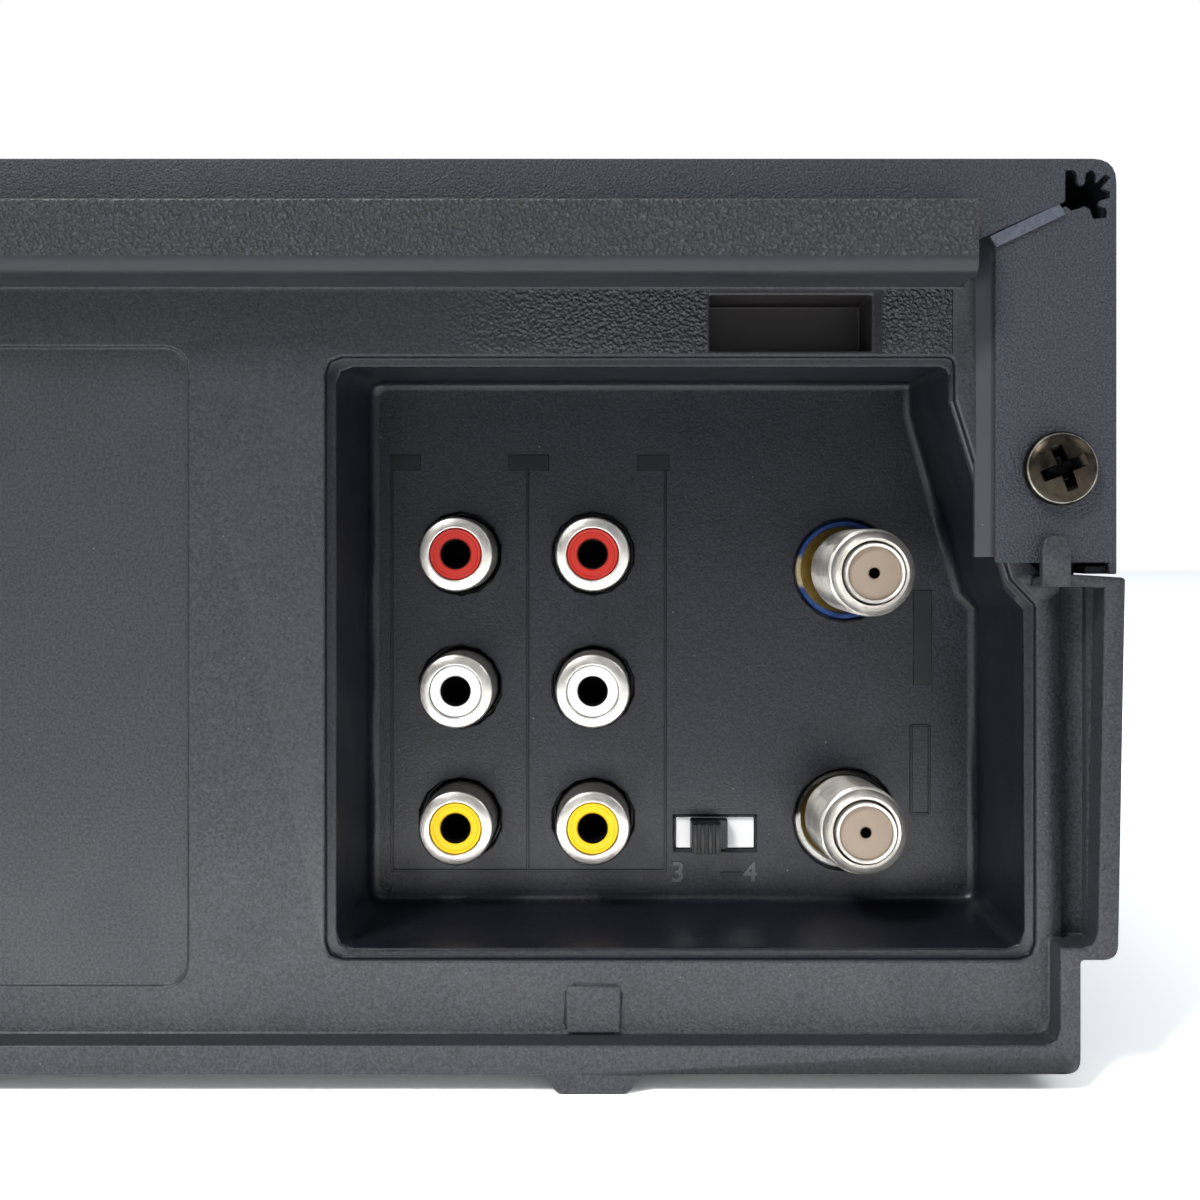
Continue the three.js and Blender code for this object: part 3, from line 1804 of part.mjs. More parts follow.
function reelIdler() {
  const low = deckTop + gap;
  const y0 = -idlerPivotY;
  const y1 = y0 + idlerArm;
  const half = idlerBar / 2;
  const bar = new THREE.Shape();
  bar.absarc(0, y0, half, Math.PI, fullTurn);
  bar.absarc(0, y1, half, 0, Math.PI);
  const wheelLow = low + idlerPlate + gap;
  const wheelTop = low + reelBase + reelDisc;
  const arm = cut(
    join(alongZ(bar, low, low + idlerPlate), rodZ(0, y1, reelPost, low, wheelTop, smallSteps)),
    rodZ(0, y0, reelPost + gap, low - overrun, low + idlerPlate + overrun, smallSteps),
  );
  addPiece("idler_arm", arm, "steel");
  const wheel = turnedZ(
    ring([
      [reelPost + gap, 0],
      [idlerRadius, 0],
      [idlerRadius, wheelTop - wheelLow],
      [reelPost + gap, wheelTop - wheelLow],
    ]),
    0,
    y1,
    wheelLow,
  );
  addPiece("idler_wheel", wheel, "rubber");
}

function tapeGuides() {
  const low = deckTop + gap;
  for (const side of sides) {
    const angle = side > 0 ? guideStartAngle : halfTurnAngle - guideStartAngle;
    const [x, y] = atAngle(0, guideCentreY, guideTrack, angle);
    const base = rodZ(x, y, guideBase, low, low + guideBaseHeight, smallSteps);
    const pin = rodZ(x, y, guidePin, deckZ - gap, low + guideBaseHeight / 2, smallSteps);
    const post = turnedZ(
      [
        [0, 0],
        [guideFlange, 0],
        [guideFlange, guideFlangeThick],
        [guideRoller, guideFlangeThick],
        [guideRoller, guideHeight - low - guideBaseHeight - guideFlangeThick],
        [guideFlange, guideHeight - low - guideBaseHeight - guideFlangeThick],
        [guideFlange, guideHeight - low - guideBaseHeight],
        [0, guideHeight - low - guideBaseHeight],
      ],
      x,
      y,
      low + guideBaseHeight - gap,
      smallSteps,
    );
    addPiece(`${side < 0 ? "supply" : "takeup"}_guide`, join(base, pin, post), "steel");
  }
}

function fixedHeads() {
  const low = deckTop + gap;
  for (const [name, x, y] of [
    ["audio_head", headX, drumY + headBehind],
    ["erase_head", -eraseX, drumY - eraseAhead],
  ]) {
    const foot = block(
      x - headSize / 2,
      x + headSize / 2,
      y - headDepth / 2,
      y + headDepth / 2,
      low,
      low + headFoot,
    );
    const side = Math.sign(x);
    const body = block(
      x - side * headSize * headOuterShare,
      x + side * headSize * headInnerShare,
      y - (headDepth * headDepthShare) / 2,
      y + (headDepth * headDepthShare) / 2,
      low + headFoot - overrun,
      low + headFoot + headHeight,
    );
    addPiece(name, join(foot, body), "nickel");
  }
}

const holderHalf = cassetteWidth / 2 + cassettePlay + holderSheet;
const holderTop = slotFloor + cassetteHeight + cassettePlay + holderSheet;
const holderPinYs = [carriageY0 + holderPinIn, carriageY0 + holderLength - holderPinIn];
const sliderPinYs = [carriageY0 + sliderPinIn, carriageY0 + holderLength - sliderPinIn];

// The tray that takes the cassette: a shallow sheet channel with ledges, stops and guide pins
function cassetteHolder() {
  const y0 = carriageY0;
  const y1 = y0 + holderLength;
  const inner = holderHalf - holderSheet;
  const outer = block(-holderHalf, holderHalf, y0, y1, slotFloor - holderSheet, holderTop);
  const hollow = block(
    -inner,
    inner,
    y0 - overrun,
    y1 + overrun,
    slotFloor,
    holderTop - holderSheet,
  );
  const under = block(
    -inner + holderLedge,
    inner - holderLedge,
    y0 - overrun,
    y1 + overrun,
    slotFloor - holderSheet - overrun,
    slotFloor + overrun,
  );
  const topWindow = block(
    -cassetteWidth / 4,
    cassetteWidth / 4,
    y0 + holderLength / 4,
    y1 - holderLength / 4,
    holderTop - holderSheet - overrun,
    holderTop + overrun,
  );
  const stops = sides.map((side) =>
    block(
      side * (inner + holderSheet / 2),
      side * (inner - holderLedge / 2),
      y1 - holderSheet,
      y1,
      slotFloor - holderSheet / 2,
      slotFloor + cassetteHeight / 3,
    ),
  );
  const pins = sides.flatMap((side) =>
    holderPinYs.map((y) =>
      rodX(
        y,
        holderPinZ,
        holderPin,
        side * (holderHalf - holderSheet / 2),
        side * (holderHalf + gap + sliderSheet),
      ),
    ),
  );
  addPiece("cassette_holder", join(cut(outer, hollow, under, topWindow), ...stops, ...pins), "steel");
}

// The slide that carries the holder in and out; the holder's pins drop in its upright slots
function carriageSlider() {
  const y0 = carriageY0;
  const y1 = y0 + holderLength;
  const inner = holderHalf + gap;
  const drop = slotFloor - loadedZ;
  const low = holderPinZ - drop - holderPin * 3;
  const middle = (y0 + y1) / 2;
  const pieces = [
    block(
      -inner - sliderSheet,
      inner + sliderSheet,
      middle - sliderBar / 2,
      middle + sliderBar / 2,
      sliderTop - sliderSheet,
      sliderTop,
    ),
  ];
  for (const side of sides) {
    const x0 = side * inner;
    const x1 = side * (inner + sliderSheet);
    let plate = block(x0, x1, y0, y1, low, sliderTop - sliderSheet / 2);
    for (const y of holderPinYs) {
      const reach = holderPin + gap;
      plate = cut(
        plate,
        block(
          x0 - side * overrun,
          x1 + side * overrun,
          y - reach,
          y + reach,
          holderPinZ - drop - reach,
          holderPinZ + reach,
        ),
      );
    }
    pieces.push(plate);
    for (const y of sliderPinYs) {
      const out = side * (sideFrameX + sideFrame - gap);
      pieces.push(rodX(y, sliderPinZ, sliderPin, (x0 + x1) / 2, out));
    }
  }
  addPiece("carriage_slider", join(...pieces), "steel");
}

function sideFrames() {
  const y0 = carriageY0;
  const y1 = sideFrameRear;
  const low = deckTop + gap;
  const reach = sliderPin + gap;
  for (const side of sides) {
    const x0 = side * sideFrameX;
    const x1 = side * (sideFrameX + sideFrame);
    const plateOutline = outline([
      [y0, slotFloor - sideArch / 2],
      [deckFrontY, low],
      [y1, low],
      [y1, sliderTop - sideFrameDrop, sideFoot / 2],
      [y0, sliderTop - sideFrameDrop, sideFoot / 2],
    ]);
    const plate = side > 0 ? alongX(plateOutline, x0, x1) : alongX(plateOutline, x1, x0);
    const foot = block(
      x1 - (side * sideFrame) / 2,
      x1 + side * sideFoot,
      deckFrontY,
      y1,
      low,
      low + deckSheet,
    );
    const slot = block(
      x0 - side * overrun,
      x1 + side * overrun,
      sliderPinYs[0] - reach,
      sliderPinYs[1] + carriageTravel + reach,
      sliderPinZ - reach,
      sliderPinZ + reach,
    );
    const arch = alongX(
      rectangle(
        deckFrontY + sideArch / 2,
        y1 - sideArch / 2,
        low + sideFoot,
        slotFloor,
        Math.min(sideFoot, (slotFloor - low - sideFoot) / 3),
      ),
      Math.min(x0, x1) - overrun,
      Math.max(x0, x1) + overrun,
    );
    addPiece(`side_frame_${sideName(side)}`, cut(join(plate, foot), slot, arch), "plastic");
  }
}

baseFrame();
frontFeet();
topCover();
coverScrews();
phonoJacks();
antennaConnectors();
channelSwitch();
frontPanel();
displayWindow();
cassetteDoor();
frontKeys();
boards();
deckPlate();
headDrum();
capstanDrive();
reelTables();
reelIdler();
tapeGuides();
fixedHeads();
cassetteHolder();
carriageSlider();
sideFrames();

export default recorder;
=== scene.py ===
import math

import bmesh
import bpy
from bpy.props import FloatProperty, FloatVectorProperty, IntProperty, PointerProperty
from bpy.types import Operator, Panel, PropertyGroup
from mathutils import Matrix, Vector
from mathutils.geometry import delaunay_2d_cdt


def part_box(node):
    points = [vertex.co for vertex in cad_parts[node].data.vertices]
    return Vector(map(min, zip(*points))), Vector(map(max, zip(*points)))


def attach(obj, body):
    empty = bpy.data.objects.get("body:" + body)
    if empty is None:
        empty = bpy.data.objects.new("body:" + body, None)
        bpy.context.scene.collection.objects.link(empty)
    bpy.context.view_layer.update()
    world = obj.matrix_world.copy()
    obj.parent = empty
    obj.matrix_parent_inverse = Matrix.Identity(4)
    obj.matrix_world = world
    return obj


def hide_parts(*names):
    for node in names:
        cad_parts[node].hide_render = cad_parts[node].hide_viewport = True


bl_info = {
    "name": "Cassette recorder",
    "version": (1, 0, 0),
    "blender": (4, 5, 0),
    "location": "View3D > Sidebar > Recorder",
    "description": "Dresses the packed frame of a VHS cassette recorder",
    "category": "Object",
}

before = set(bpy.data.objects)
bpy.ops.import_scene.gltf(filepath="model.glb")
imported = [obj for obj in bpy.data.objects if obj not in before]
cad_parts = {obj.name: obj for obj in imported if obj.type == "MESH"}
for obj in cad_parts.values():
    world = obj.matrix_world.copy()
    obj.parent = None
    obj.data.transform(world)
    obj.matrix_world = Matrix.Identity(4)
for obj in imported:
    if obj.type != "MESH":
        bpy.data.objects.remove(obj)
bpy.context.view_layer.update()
MM = 0.001
CHASSIS = "chassis"
ORIGIN = Vector((0, 0, 0))
# How far back the jack bay's floor, the rear wall and the cover's rear flange stand
BAY_FLOOR = 104.1 * MM
WALL_FACE = 122.0 * MM
FLANGE_FACE = 124.6 * MM
# Areas of the rear wall as (x0, x1, z0, z1), and for the leather patches the width they fade over
WALL_POLISH = (-156.6 * MM, -139.2 * MM, 73.2 * MM, 81 * MM)
WALL_PATCHES = (
    (-139.2 * MM, -110 * MM, 73.7 * MM, 80.7 * MM, 26 * MM),
    (-163.7 * MM, -156.6 * MM, 73.7 * MM, 80.7 * MM, 0),
)


class RecorderSizes(PropertyGroup):
    """Sizes of the finer shapes that only the dressed recorder has"""

    moulding_round: FloatProperty(
        name="Moulding edge",
        description="Rounding along the edges of the moulded frame",
        default=0.28 * MM,
        min=0.05 * MM,
        max=0.8 * MM,
        unit="LENGTH",
    )
    sheet_round: FloatProperty(
        name="Sheet edge",
        description="Rounding along the edges of the sheet-steel pieces",
        default=0.16 * MM,
        min=0.05 * MM,
        max=0.3 * MM,
        unit="LENGTH",
    )
    key_round: FloatProperty(
        name="Key edge",
        description="Rounding along the edges of the keys",
        default=0.35 * MM,
        min=0.1 * MM,
        max=0.8 * MM,
        unit="LENGTH",
    )
    thread_pitch: FloatProperty(
        name="Thread pitch",
        description="Distance from one turn of the connector thread to the next",
        default=0.79 * MM,
        min=0.4 * MM,
        max=1.5 * MM,
        unit="LENGTH",
    )
    thread_depth: FloatProperty(
        name="Thread depth",
        description="Depth of the connector thread",
        default=0.34 * MM,
        min=0.1 * MM,
        max=0.6 * MM,
        unit="LENGTH",
    )
    screw_turn: FloatProperty(
        name="Screw turn",
        description="Angle at which the cross in the cover screws came to rest",
        default=math.radians(22),
        subtype="ANGLE",
    )
    mark_height: FloatProperty(
        name="Mark height",
        description="How far the moulded marks stand out of the jack bay's floor",
        default=0.16 * MM,
        min=0.05 * MM,
        max=0.4 * MM,
        unit="LENGTH",
    )
    round_steps: IntProperty(
        name="Round steps",
        description="Facets round a turned piece",
        default=72,
        min=24,
        max=160,
    )


class RecorderFinishes(PropertyGroup):
    """Colours of the recorder's main pieces"""

    moulding: FloatVectorProperty(
        name="Moulding",
        description="Colour of the moulded frame",
        subtype="COLOR",
        default=(0.03, 0.031, 0.037),
        min=0,
        max=1,
    )
    # The jack bay is smoother than the rest of the moulding, and its colour is also darker as painted
    # shade of the recess.
    bay: FloatVectorProperty(
        name="Jack bay",
        description="Colour of the polished jack bay",
        subtype="COLOR",
        default=(0.009, 0.0095, 0.015),
        min=0,
        max=1,
    )
    cover: FloatVectorProperty(
        name="Cover",
        description="Colour of the painted cover",
        subtype="COLOR",
        default=(0.028, 0.031, 0.042),
        min=0,
        max=1,
    )
    front: FloatVectorProperty(
        name="Front",
        description="Colour of the front panel",
        subtype="COLOR",
        default=(0.03, 0.03, 0.033),
        min=0,
        max=1,
    )
    nickel: FloatVectorProperty(
        name="Nickel",
        description="Colour of the plated shells and connectors",
        subtype="COLOR",
        default=(0.68, 0.65, 0.61),
        min=0,
        max=1,
    )
    video: FloatVectorProperty(
        name="Video jack",
        description="Colour of the video jacks' insulators",
        subtype="COLOR",
        default=(0.88, 0.544, 0.0),
        min=0,
        max=1,
    )
    left: FloatVectorProperty(
        name="Left jack",
        description="Colour of the left sound jacks' insulators",
        subtype="COLOR",
        default=(0.86, 0.86, 0.86),
        min=0,
        max=1,
    )
    right: FloatVectorProperty(
        name="Right jack",
        description="Colour of the right sound jacks' insulators",
        subtype="COLOR",
        default=(0.43, 0.021, 0.013),
        min=0,
        max=1,
    )
    dielectric: FloatVectorProperty(
        name="Connector core",
        description="Colour of the antenna connectors' insulators",
        subtype="COLOR",
        default=(0.29, 0.23, 0.18),
        min=0,
        max=1,
    )


def sizes():
    """The sizes that the scene holds."""
    return bpy.context.scene.recorder_sizes


def finishes():
    """The colours that the scene holds."""
    return bpy.context.scene.recorder_finishes


def wheel(colour):
    """A colour with full alpha, as a colour socket takes it."""
    return (*colour, 1)


def times(colour, factor):
    """A colour made lighter or darker by a factor."""
    return [c * factor for c in colour]


def node(tree, kind, feeds=None, **settings):
    """A new node, its settings, and its inputs by name or number, from values or sockets."""
    made = tree.nodes.new(kind)
    for name, value in settings.items():
        setattr(made, name, value)
    for key, value in (feeds or {}).items():
        if isinstance(value, bpy.types.NodeSocket):
            tree.links.new(value, made.inputs[key])
        else:
            made.inputs[key].default_value = value
    return made


def sums(tree, operation, *values):
    """The result of a math node on numbers or sockets."""
    return node(tree, "ShaderNodeMath", dict(enumerate(values)), operation=operation).outputs[0]


def ramp(tree, value, low, high, to_low=0.0, to_high=1.0, smooth=False):
    """The value stretched so that low and high become two others, and held beyond them."""
    feeds = {0: value, 1: low, 2: high, 3: to_low, 4: to_high}
    kind = "SMOOTHSTEP" if smooth else "LINEAR"
    return node(tree, "ShaderNodeMapRange", feeds, interpolation_type=kind).outputs[0]


def noise(tree, place, size, detail=2.0, rough=0.5):
    """Noise whose lumps are about size metres across."""
    feeds = {"Vector": place, "Scale": 1 / size, "Detail": detail, "Roughness": rough}
    return node(tree, "ShaderNodeTexNoise", feeds).outputs[0]


def mixed(tree, factor, first, second):
    """The first colour turning into the second as the factor goes from 0 to 1."""
    feeds = {0: factor, 6: first, 7: second}
    return node(tree, "ShaderNodeMix", feeds, data_type="RGBA").outputs[2]


def new_material(name):
    """An empty node material, its tree and shader, and the place of a point on the piece."""
    made = bpy.data.materials.new(name)
    made.use_nodes = True
    tree = made.node_tree
    tree.nodes.clear()
    shader = node(tree, "ShaderNodeBsdfPrincipled")
    output = node(tree, "ShaderNodeOutputMaterial")
    tree.links.new(shader.outputs[0], output.inputs[0])
    place = node(tree, "ShaderNodeTexCoord").outputs["Object"]
    return made, tree, shader, place


def bump(tree, height, distance, normal=None):
    """The normal of a skin whose height goes from 0 to the distance."""
    feeds = {"Height": height, "Distance": distance}
    if normal is not None:
        feeds["Normal"] = normal
    return node(tree, "ShaderNodeBump", feeds).outputs[0]


def specks(tree, place, spacing, size, share):
    """Sparse round specks: one in each cell of a scattered pattern, kept in a share of them."""
    cells = node(tree, "ShaderNodeTexVoronoi", {"Vector": place, "Scale": 1 / spacing})
    near = ramp(tree, cells.outputs["Distance"], size / spacing, size / spacing * 0.4)
    parts = node(tree, "ShaderNodeSeparateColor", {0: cells.outputs["Color"]})
    return sums(tree, "MULTIPLY", near, sums(tree, "LESS_THAN", parts.outputs[0], share))


def lint(tree, place, spacing, share):
    """Short pale fibres: a cell pattern stretched along one direction and turned."""
    feeds = {"Vector": place, "Rotation": (0.6, 0.9, 0.4), "Scale": (1, 9, 9)}
    turned = node(tree, "ShaderNodeMapping", feeds).outputs[0]
    wave = noise(tree, place, spacing * 0.8, 1)
    bent = node(tree, "ShaderNodeVectorMath", {0: turned, 1: wave}, operation="ADD").outputs[0]
    return specks(tree, bent, spacing, spacing * 0.05, share)


def pebbles(tree, place, size):
    """Height of a leather grain: rounded pebbles of uneven size with narrow creases between."""
    feeds = {0: noise(tree, place, size * 1.4, 2), "Scale": size * 1.1}
    shift = node(tree, "ShaderNodeVectorMath", feeds, operation="SCALE").outputs[0]
    bent = node(tree, "ShaderNodeVectorMath", {0: place, 1: shift}, operation="ADD").outputs[0]
    feeds = {"Vector": bent, "Scale": 1 / size, "Smoothness": 0.35}
    cells = node(tree, "ShaderNodeTexVoronoi", feeds, feature="SMOOTH_F1").outputs["Distance"]
    crown = ramp(tree, cells, 0.75, 0.1, smooth=True)
    return sums(tree, "ADD", crown, sums(tree, "MULTIPLY", noise(tree, place, size * 0.6, 3), 0.7))


def tinted(tree, place, colour, mottle, glint_speckle=0.0, grain=0.3):
    """The colour with slow changes of shade, and a fine speckle of random tone that also stands in for
    glints, a painted highlight where light would catch the grain.
    """
    dark, light = wheel(times(colour, 1 - mottle)), wheel(times(colour, 1 + mottle))
    shade = mixed(tree, noise(tree, place, 22 * MM, 3), dark, light)
    if not glint_speckle:
        return shade
    # Painted glints: the fine speckle makes the colour lighter and darker, as highlights on the grain
    # would.
    fine = ramp(tree, noise(tree, place, grain * MM, 3, 0.7), 0.3, 0.7, 1 - glint_speckle, 1 + glint_speckle)
    return scaled(tree, shade, fine)


def scaled(tree, shade, factor):
    """A shade made lighter or darker by a factor that may change from place to place."""
    grey = node(tree, "ShaderNodeCombineColor", {0: factor, 1: factor, 2: factor}).outputs[0]
    feeds = {0: 1.0, 6: shade, 7: grey}
    return node(tree, "ShaderNodeMix", feeds, data_type="RGBA", blend_type="MULTIPLY").outputs[2]


def dusted(tree, place, shade, dust):
    """Specks and short fibres of pale dust over a shade."""
    dirt = specks(tree, place, 2.2 * MM, 0.11 * MM, 0.3)
    fibres = lint(tree, place, 9 * MM, 0.25)
    spread = sums(tree, "MULTIPLY", sums(tree, "MAXIMUM", dirt, fibres), dust)
    return mixed(tree, spread, shade, (0.42, 0.42, 0.4, 1))


def uneven_gloss(tree, shader, place, roughness):
    """The gloss of moulded plastic, a little duller here and there."""
    cloud = noise(tree, place, 7 * MM, 4)
    gloss = ramp(tree, cloud, 0.3, 0.7, roughness - 0.05, roughness + 0.07)
    tree.links.new(gloss, shader.inputs["Roughness"])


def moulded(
    name, colour, roughness=0.42, grain=0.3, depth=0.03, mottle=0.12, dust=0.25, glint_speckle=0.0, shine=0.3
):
    """Moulded plastic: a fine grain, slow changes of shade and gloss, and a little dust.

    The grain's size and depth are in millimetres.
    """
    made, tree, shader, place = new_material(name)
    shade = tinted(tree, place, colour, mottle, glint_speckle, grain)
    if dust:
        shade = dusted(tree, place, shade, dust)
    tree.links.new(shade, shader.inputs["Base Color"])
    shader.inputs["Specular IOR Level"].default_value = shine
    uneven_gloss(tree, shader, place, roughness)
    skin = bump(tree, noise(tree, place, grain * MM, 2, 0.6), depth * MM)
    tree.links.new(skin, shader.inputs["Normal"])
    return made


def within(tree, value, low, high, soft):
    """1 where the value lies between low and high, with soft edges."""
    rise = ramp(tree, value, low - soft, low + soft)
    fall = ramp(tree, value, high + soft, high - soft)
    return sums(tree, "MULTIPLY", rise, fall)


def area(tree, parts, x0, x1, z0, z1):
    """1 inside an area of the rear wall, with edges as soft as a hair is wide."""
    across = within(tree, parts[0], x0, x1, 0.05 * MM)
    up = within(tree, parts[2], z0, z1, 0.05 * MM)
    return sums(tree, "MULTIPLY", across, up)


def leathery(name, colour, size, depth, patches=(), shaded=None):
    """Moulded plastic with a leather grain, all over or in patches; the grain's crowns and creases are
    also painted lighter and darker as painted highlight and shade.

    The grain's size and depth are in millimetres. A patch is (x0, x1, z0, z1, fade) in metres;
    its grain comes in over the fade from x1. The shaded area is polished and looks darker.
    """
    made, tree, shader, place = new_material(name)
    parts = node(tree, "ShaderNodeSeparateXYZ", {0: place}).outputs
    height = pebbles(tree, place, size * MM)
    share = 0.0 if patches else 1.0
    for x0, x1, z0, z1, fade in patches:
        there = area(tree, parts, x0, x1, z0, z1)
        if fade:
            there = sums(tree, "MULTIPLY", there, ramp(tree, parts[0], x1, x1 - fade))
        share = sums(tree, "ADD", share, there)
    # Painted highlight and shade: the pebbles' crowns are made lighter and their creases darker, as light
    # on the relief would.
    relief_shade_and_tone = sums(tree, "MULTIPLY", ramp(tree, height, 0.25, 1.25, -0.6, 0.85), share)
    if shaded:
        polished = sums(tree, "MULTIPLY", area(tree, parts, *shaded), -0.5)
        relief_shade_and_tone = sums(tree, "ADD", relief_shade_and_tone, polished)
    shade = tinted(tree, place, colour, mottle=0.12, glint_speckle=0.5)
    shade = scaled(tree, shade, sums(tree, "ADD", relief_shade_and_tone, 1.0))
    tree.links.new(dusted(tree, place, shade, 0.3), shader.inputs["Base Color"])
    shader.inputs["Specular IOR Level"].default_value = 0.35
    uneven_gloss(tree, shader, place, 0.36)
    skin = bump(tree, noise(tree, place, 0.3 * MM, 2, 0.6), 0.035 * MM)
    raised = sums(tree, "MULTIPLY", height, share)
    tree.links.new(bump(tree, raised, depth * MM, skin), shader.inputs["Normal"])
    return made


def painted(name, colour, roughness=0.42, grain=0.22, depth=0.1, glint_speckle=1.0):
    """Textured paint on steel: a wrinkled skin, with a painted speckle of glints where the light would
    catch it.
    """
    made, tree, shader, place = new_material(name)
    shade = tinted(tree, place, colour, 0.05, glint_speckle, grain)
    shade = dusted(tree, place, shade, 0.2)
    tree.links.new(shade, shader.inputs["Base Color"])
    gloss = ramp(tree, noise(tree, place, 9 * MM, 3), 0.3, 0.7, roughness - 0.06, roughness + 0.06)
    tree.links.new(gloss, shader.inputs["Roughness"])
    shader.inputs["Specular IOR Level"].default_value = 0.3
    feeds = {"Vector": place, "Scale": 1 / (grain * MM), "Smoothness": 0.8}
    skin = node(tree, "ShaderNodeTexVoronoi", feeds, feature="SMOOTH_F1").outputs["Distance"]
    wrinkles = sums(tree, "SUBTRACT", noise(tree, place, grain * MM, 3, 0.7), skin)
    tree.links.new(bump(tree, wrinkles, depth * MM), shader.inputs["Normal"])
    return made


def two_tone(name, colour, other, low, high):
    """Moulded plastic that changes to another shade between two heights."""
    made, tree, shader, place = new_material(name)
    stray = ramp(tree, noise(tree, place, 1.5 * MM, 3), 0.3, 0.7, -0.6 * MM, 0.6 * MM)
    up = node(tree, "ShaderNodeSeparateXYZ", {0: place}).outputs[2]
    there = within(tree, sums(tree, "ADD", up, stray), low, high, 0.4 * MM)
    first = tinted(tree, place, colour, mottle=0.3, glint_speckle=0.3, grain=0.4)
    second = tinted(tree, place, other, mottle=0.15, glint_speckle=0.15, grain=0.4)
    tree.links.new(mixed(tree, there, first, second), shader.inputs["Base Color"])
    shader.inputs["Roughness"].default_value = 0.36
    tree.links.new(bump(tree, noise(tree, place, 0.4 * MM, 2), 0.02 * MM), shader.inputs["Normal"])
    return made


def plated(name, colour, roughness, scratch, tarnish, brushed=(1, 14, 1)):
    """Plated or bare metal with patches of dullness, and scratches across the brushed axis."""
    made, tree, shader, place = new_material(name)
    shader.inputs["Metallic"].default_value = 1.0
    cloud = noise(tree, place, 2.5 * MM, 4, 0.6)
    dull = wheel(times(colour, 1 - tarnish * 2))
    shade = mixed(tree, ramp(tree, cloud, 0.35, 0.7), dull, wheel(colour))
    tree.links.new(shade, shader.inputs["Base Color"])
    lines = node(tree, "ShaderNodeMapping", {"Vector": place, "Scale": brushed}).outputs[0]
    marks = noise(tree, lines, 0.7 * MM, 3, 0.7)
    gloss = ramp(tree, marks, 0.3, 0.75, roughness - 0.05, roughness + scratch)
    tree.links.new(gloss, shader.inputs["Roughness"])
    tree.links.new(bump(tree, marks, 0.006 * MM), shader.inputs["Normal"])
    return made


def on_screw(tree, place):
    """How far a place is from the axis of its cover screw, and how far below the domed head."""
    middle, _, high = node_middle("cover_screw_left")
    dome, skin = 82.0, 0.3 * MM
    parts = node(tree, "ShaderNodeSeparateXYZ", {0: place}).outputs
    aside = sums(tree, "SUBTRACT", sums(tree, "ABSOLUTE", parts[0], 0.0), abs(middle.x))
    up = sums(tree, "SUBTRACT", parts[2], middle.z)
    square = sums(tree, "ADD", sums(tree, "MULTIPLY", aside, aside), sums(tree, "MULTIPLY", up, up))
    drop = sums(tree, "ADD", sums(tree, "MULTIPLY", square, dome), skin)
    below = sums(tree, "SUBTRACT", sums(tree, "SUBTRACT", high.y, parts[1]), drop)
    return sums(tree, "SQRT", square, 0.0), below


def screw_steel(name, colour):
    """Blackened steel for the two cover screws, with a worn rim that is lightened as a painted highlight
    too, and a cross painted dark as painted shade.
    """
    made, tree, shader, place = new_material(name)
    shader.inputs["Metallic"].default_value = 1.0
    reach, below = on_screw(tree, place)
    cross_reach, rim_reach = (3.05 * MM, 3.15 * MM), (3.4 * MM, 3.5 * MM)
    deep = ramp(tree, below, 0.0, 0.25 * MM)
    inside = ramp(tree, reach, *cross_reach, 1.0, 0.0)
    cloud = noise(tree, place, 1.4 * MM, 4, 0.6)
    shade = mixed(tree, ramp(tree, cloud, 0.35, 0.7), wheel(times(colour, 0.5)), wheel(colour))
    # The worn rim, also a painted highlight: a ring of lighter, bare-looking metal.
    rim_wear_and_highlight = within(tree, reach, *rim_reach, 0.05 * MM)
    rim_wear_and_highlight = sums(tree, "MULTIPLY", rim_wear_and_highlight, ramp(tree, cloud, 0.3, 0.6, 0.25, 1.0))
    worn_rim_highlight, cross_shade = (0.42, 0.4, 0.36, 1), (0.004, 0.004, 0.004, 1)
    shade = mixed(tree, rim_wear_and_highlight, shade, worn_rim_highlight)
    # Painted shade: the cross is painted nearly black below the domed head.
    shade = mixed(tree, sums(tree, "MULTIPLY", deep, inside), shade, cross_shade)
    tree.links.new(shade, shader.inputs["Base Color"])
    tree.links.new(ramp(tree, cloud, 0.3, 0.75, 0.2, 0.5), shader.inputs["Roughness"])
    tree.links.new(bump(tree, noise(tree, place, 0.5 * MM, 3), 0.015 * MM), shader.inputs["Normal"])
    return made


def glossy_pane(name, colour):
    """Smoked plastic: dark, smooth, with faint wipe marks in its gloss."""
    made, tree, shader, place = new_material(name)
    shade = mixed(tree, noise(tree, place, 30 * MM, 2), wheel(colour), wheel(times(colour, 1.3)))
    tree.links.new(shade, shader.inputs["Base Color"])
    swept = node(tree, "ShaderNodeMapping", {"Vector": place, "Scale": (1, 1, 7)}).outputs[0]
    gloss = ramp(tree, noise(tree, swept, 6 * MM, 4), 0.35, 0.75, 0.05, 0.16)
    tree.links.new(gloss, shader.inputs["Roughness"])
    shader.inputs["Coat Weight"].default_value = 0.4
    return made


def rubber(name, colour):
    """Soft rubber: dull all over, with patches of a paler shade and a fine grain."""
    made, tree, shader, place = new_material(name)
    shade = mixed(tree, noise(tree, place, 3 * MM, 4), wheel(colour), wheel(times(colour, 1.6)))
    tree.links.new(shade, shader.inputs["Base Color"])
    shader.inputs["Roughness"].default_value = 0.85
    tree.links.new(bump(tree, noise(tree, place, 0.3 * MM, 2), 0.03 * MM), shader.inputs["Normal"])
    return made


